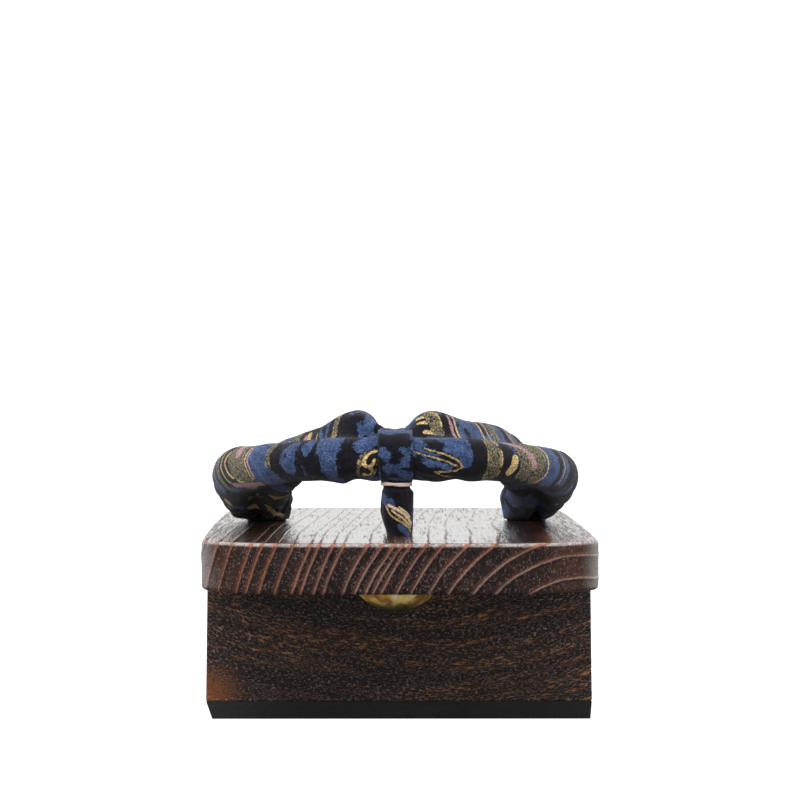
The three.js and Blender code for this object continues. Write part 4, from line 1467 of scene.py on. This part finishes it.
def build_camera():
    """The camera: far off in front of the toe, just above the deck, as the photograph was taken."""
    data = bpy.data.cameras.new("view")
    data.lens = LENS
    data.sensor_width = SENSOR_WIDTH
    data.clip_start = 0.05
    data.clip_end = 50.0
    camera = bpy.data.objects.new("view", data)
    camera.location = CAMERA_PLACE
    look = Vector((LOOK_ASIDE, 1.0, -LOOK_DOWN))
    camera.rotation_euler = look.to_track_quat("-Z", "Y").to_euler()
    bpy.context.scene.collection.objects.link(camera)
    bpy.context.scene.camera = camera


# Properties, operators and panel

def colour_property(name, description, default):
    return FloatVectorProperty(name=name, description=description, size=3, min=0, max=255, default=default)


def power_property(name, description, default):
    return FloatProperty(name=name, description=description, default=default, unit="POWER")


class GetaColours(bpy.types.PropertyGroup):
    """Colours of the sandal's surfaces as 0 to 255 values."""
    deck_dark: colour_property("Deck dark", "Dark of the burned deck", (11, 6, 6))
    deck_brown: colour_property("Deck brown", "Brown of the burned deck", (58, 37, 32))
    deck_warm: colour_property("Deck warm", "Orange brown near the deck's corners", (84, 44, 26))
    deck_speck: colour_property("Deck specks", "Pale specks of the end grain", (130, 106, 100))
    ring_orange: colour_property("Ring orange", "Raised rings near the top and left", (142, 88, 64))
    ring_pale: colour_property("Ring pale", "Raised rings lower down", (150, 122, 112))
    ring_flank: colour_property("Ring flank", "Lit wood beside each ring", (100, 54, 36))
    tooth_dark: colour_property("Tooth dark", "Dark of the teeth", (13, 8, 7))
    tooth_brown: colour_property("Tooth brown", "Brown of the teeth", (56, 38, 33))
    tooth_dash: colour_property("Tooth dashes", "Lit dashes along the grain", (238, 168, 112))
    rubber: colour_property("Rubber", "Sole rubber", (44, 44, 44))
    cloth_black: colour_property("Cloth black", "Black ground of the print", (10, 11, 17))
    cloth_blue: colour_property("Cloth blue", "Blue of the print", (80, 100, 142))
    cloth_blue_deep: colour_property("Cloth deep blue", "Deeper blue of the print", (46, 62, 96))
    cloth_olive: colour_property("Cloth olive", "Olive pebbled ground", (122, 122, 104))
    cloth_gold: colour_property("Cloth gold", "Gold lines", (238, 214, 156))
    cloth_pink: colour_property("Cloth pink", "Dusty pink", (180, 142, 146))
    cloth_cream: colour_property("Cloth cream", "Cream of the leaf on the post", (226, 200, 164))
    thread: colour_property("Thread", "Binding thread", (206, 180, 166))
    brass: colour_property("Brass", "Cap metal", (255, 228, 140))
    cord: colour_property("Cord", "Cord of the rear knots", (58, 56, 66))


class GetaLight(bpy.types.PropertyGroup):
    """Strength of the studio's lights."""
    key_power: power_property("Key", "Soft light from above the toe", 6.0)
    side_power: power_property("Sides", "Soft lights at both sides", 2.0)
    strip_power: power_property("Strips", "Upright strips in front", 1.4)


class GETA_OT_deck(bpy.types.Operator):
    """Builds the lacquered deck with its raised growth rings"""
    bl_idname = "geta.deck"
    bl_label = "Deck"

    def execute(self, context):
        build_deck()
        return {"FINISHED"}


class GETA_OT_teeth(bpy.types.Operator):
    """Builds the two teeth of burned wood"""
    bl_idname = "geta.teeth"
    bl_label = "Teeth"

    def execute(self, context):
        for name in ("front_tooth", "rear_tooth"):
            build_tooth(name)
        return {"FINISHED"}


class GETA_OT_pads(bpy.types.Operator):
    """Builds the rubber soles under the teeth"""
    bl_idname = "geta.pads"
    bl_label = "Rubber soles"

    def execute(self, context):
        for name in ("front_sole_pad", "rear_sole_pad"):
            build_pad(name)
        return {"FINISHED"}


class GETA_OT_strap(bpy.types.Operator):
    """Builds the padded strap with its folds and print"""
    bl_idname = "geta.strap"
    bl_label = "Strap"

    def execute(self, context):
        build_strap()
        return {"FINISHED"}


class GETA_OT_loop(bpy.types.Operator):
    """Builds the front loop, its post and its binding thread"""
    bl_idname = "geta.loop"
    bl_label = "Front loop"

    def execute(self, context):
        build_front_loop()
        build_thread()
        return {"FINISHED"}


class GETA_OT_underside(bpy.types.Operator):
    """Builds the brass cap and the cord knots under the deck"""
    bl_idname = "geta.underside"
    bl_label = "Cap and knots"

    def execute(self, context):
        build_cap()
        for name in ("rear_knot_left", "rear_knot_right"):
            build_knot(name)
        return {"FINISHED"}


class GETA_OT_stage(bpy.types.Operator):
    """Builds the floor, the studio light and the camera"""
    bl_idname = "geta.stage"
    bl_label = "Stage"

    def execute(self, context):
        build_floor()
        build_world()
        build_lights(context.scene.geta_light)
        build_camera()
        context.scene.view_settings.view_transform = "Standard"
        return {"FINISHED"}


OPERATORS = (GETA_OT_deck, GETA_OT_teeth, GETA_OT_pads, GETA_OT_strap, GETA_OT_loop,
             GETA_OT_underside, GETA_OT_stage)


class GETA_PT_panel(bpy.types.Panel):
    """Lists the sandal's operators and values in the sidebar"""
    bl_idname = "GETA_PT_panel"
    bl_label = "Geta Sandal"
    bl_space_type = "VIEW_3D"
    bl_region_type = "UI"
    bl_category = "Geta"

    def draw(self, context):
        for operator in OPERATORS:
            self.layout.operator(operator.bl_idname)
        for group in (context.scene.geta_colours, context.scene.geta_light):
            for key in group.__annotations__:
                self.layout.prop(group, key)


CLASSES = (GetaColours, GetaLight, *OPERATORS, GETA_PT_panel)


def register():
    for kind in CLASSES:
        bpy.utils.register_class(kind)
    bpy.types.Scene.geta_colours = PointerProperty(type=GetaColours)
    bpy.types.Scene.geta_light = PointerProperty(type=GetaLight)


def unregister():
    del bpy.types.Scene.geta_light
    del bpy.types.Scene.geta_colours
    for kind in reversed(CLASSES):
        bpy.utils.unregister_class(kind)


def main():
    register()
    bpy.ops.geta.deck()
    bpy.ops.geta.teeth()
    bpy.ops.geta.pads()
    bpy.ops.geta.strap()
    bpy.ops.geta.loop()
    bpy.ops.geta.underside()
    bpy.ops.geta.stage()


if __name__ == "__main__":
    main()
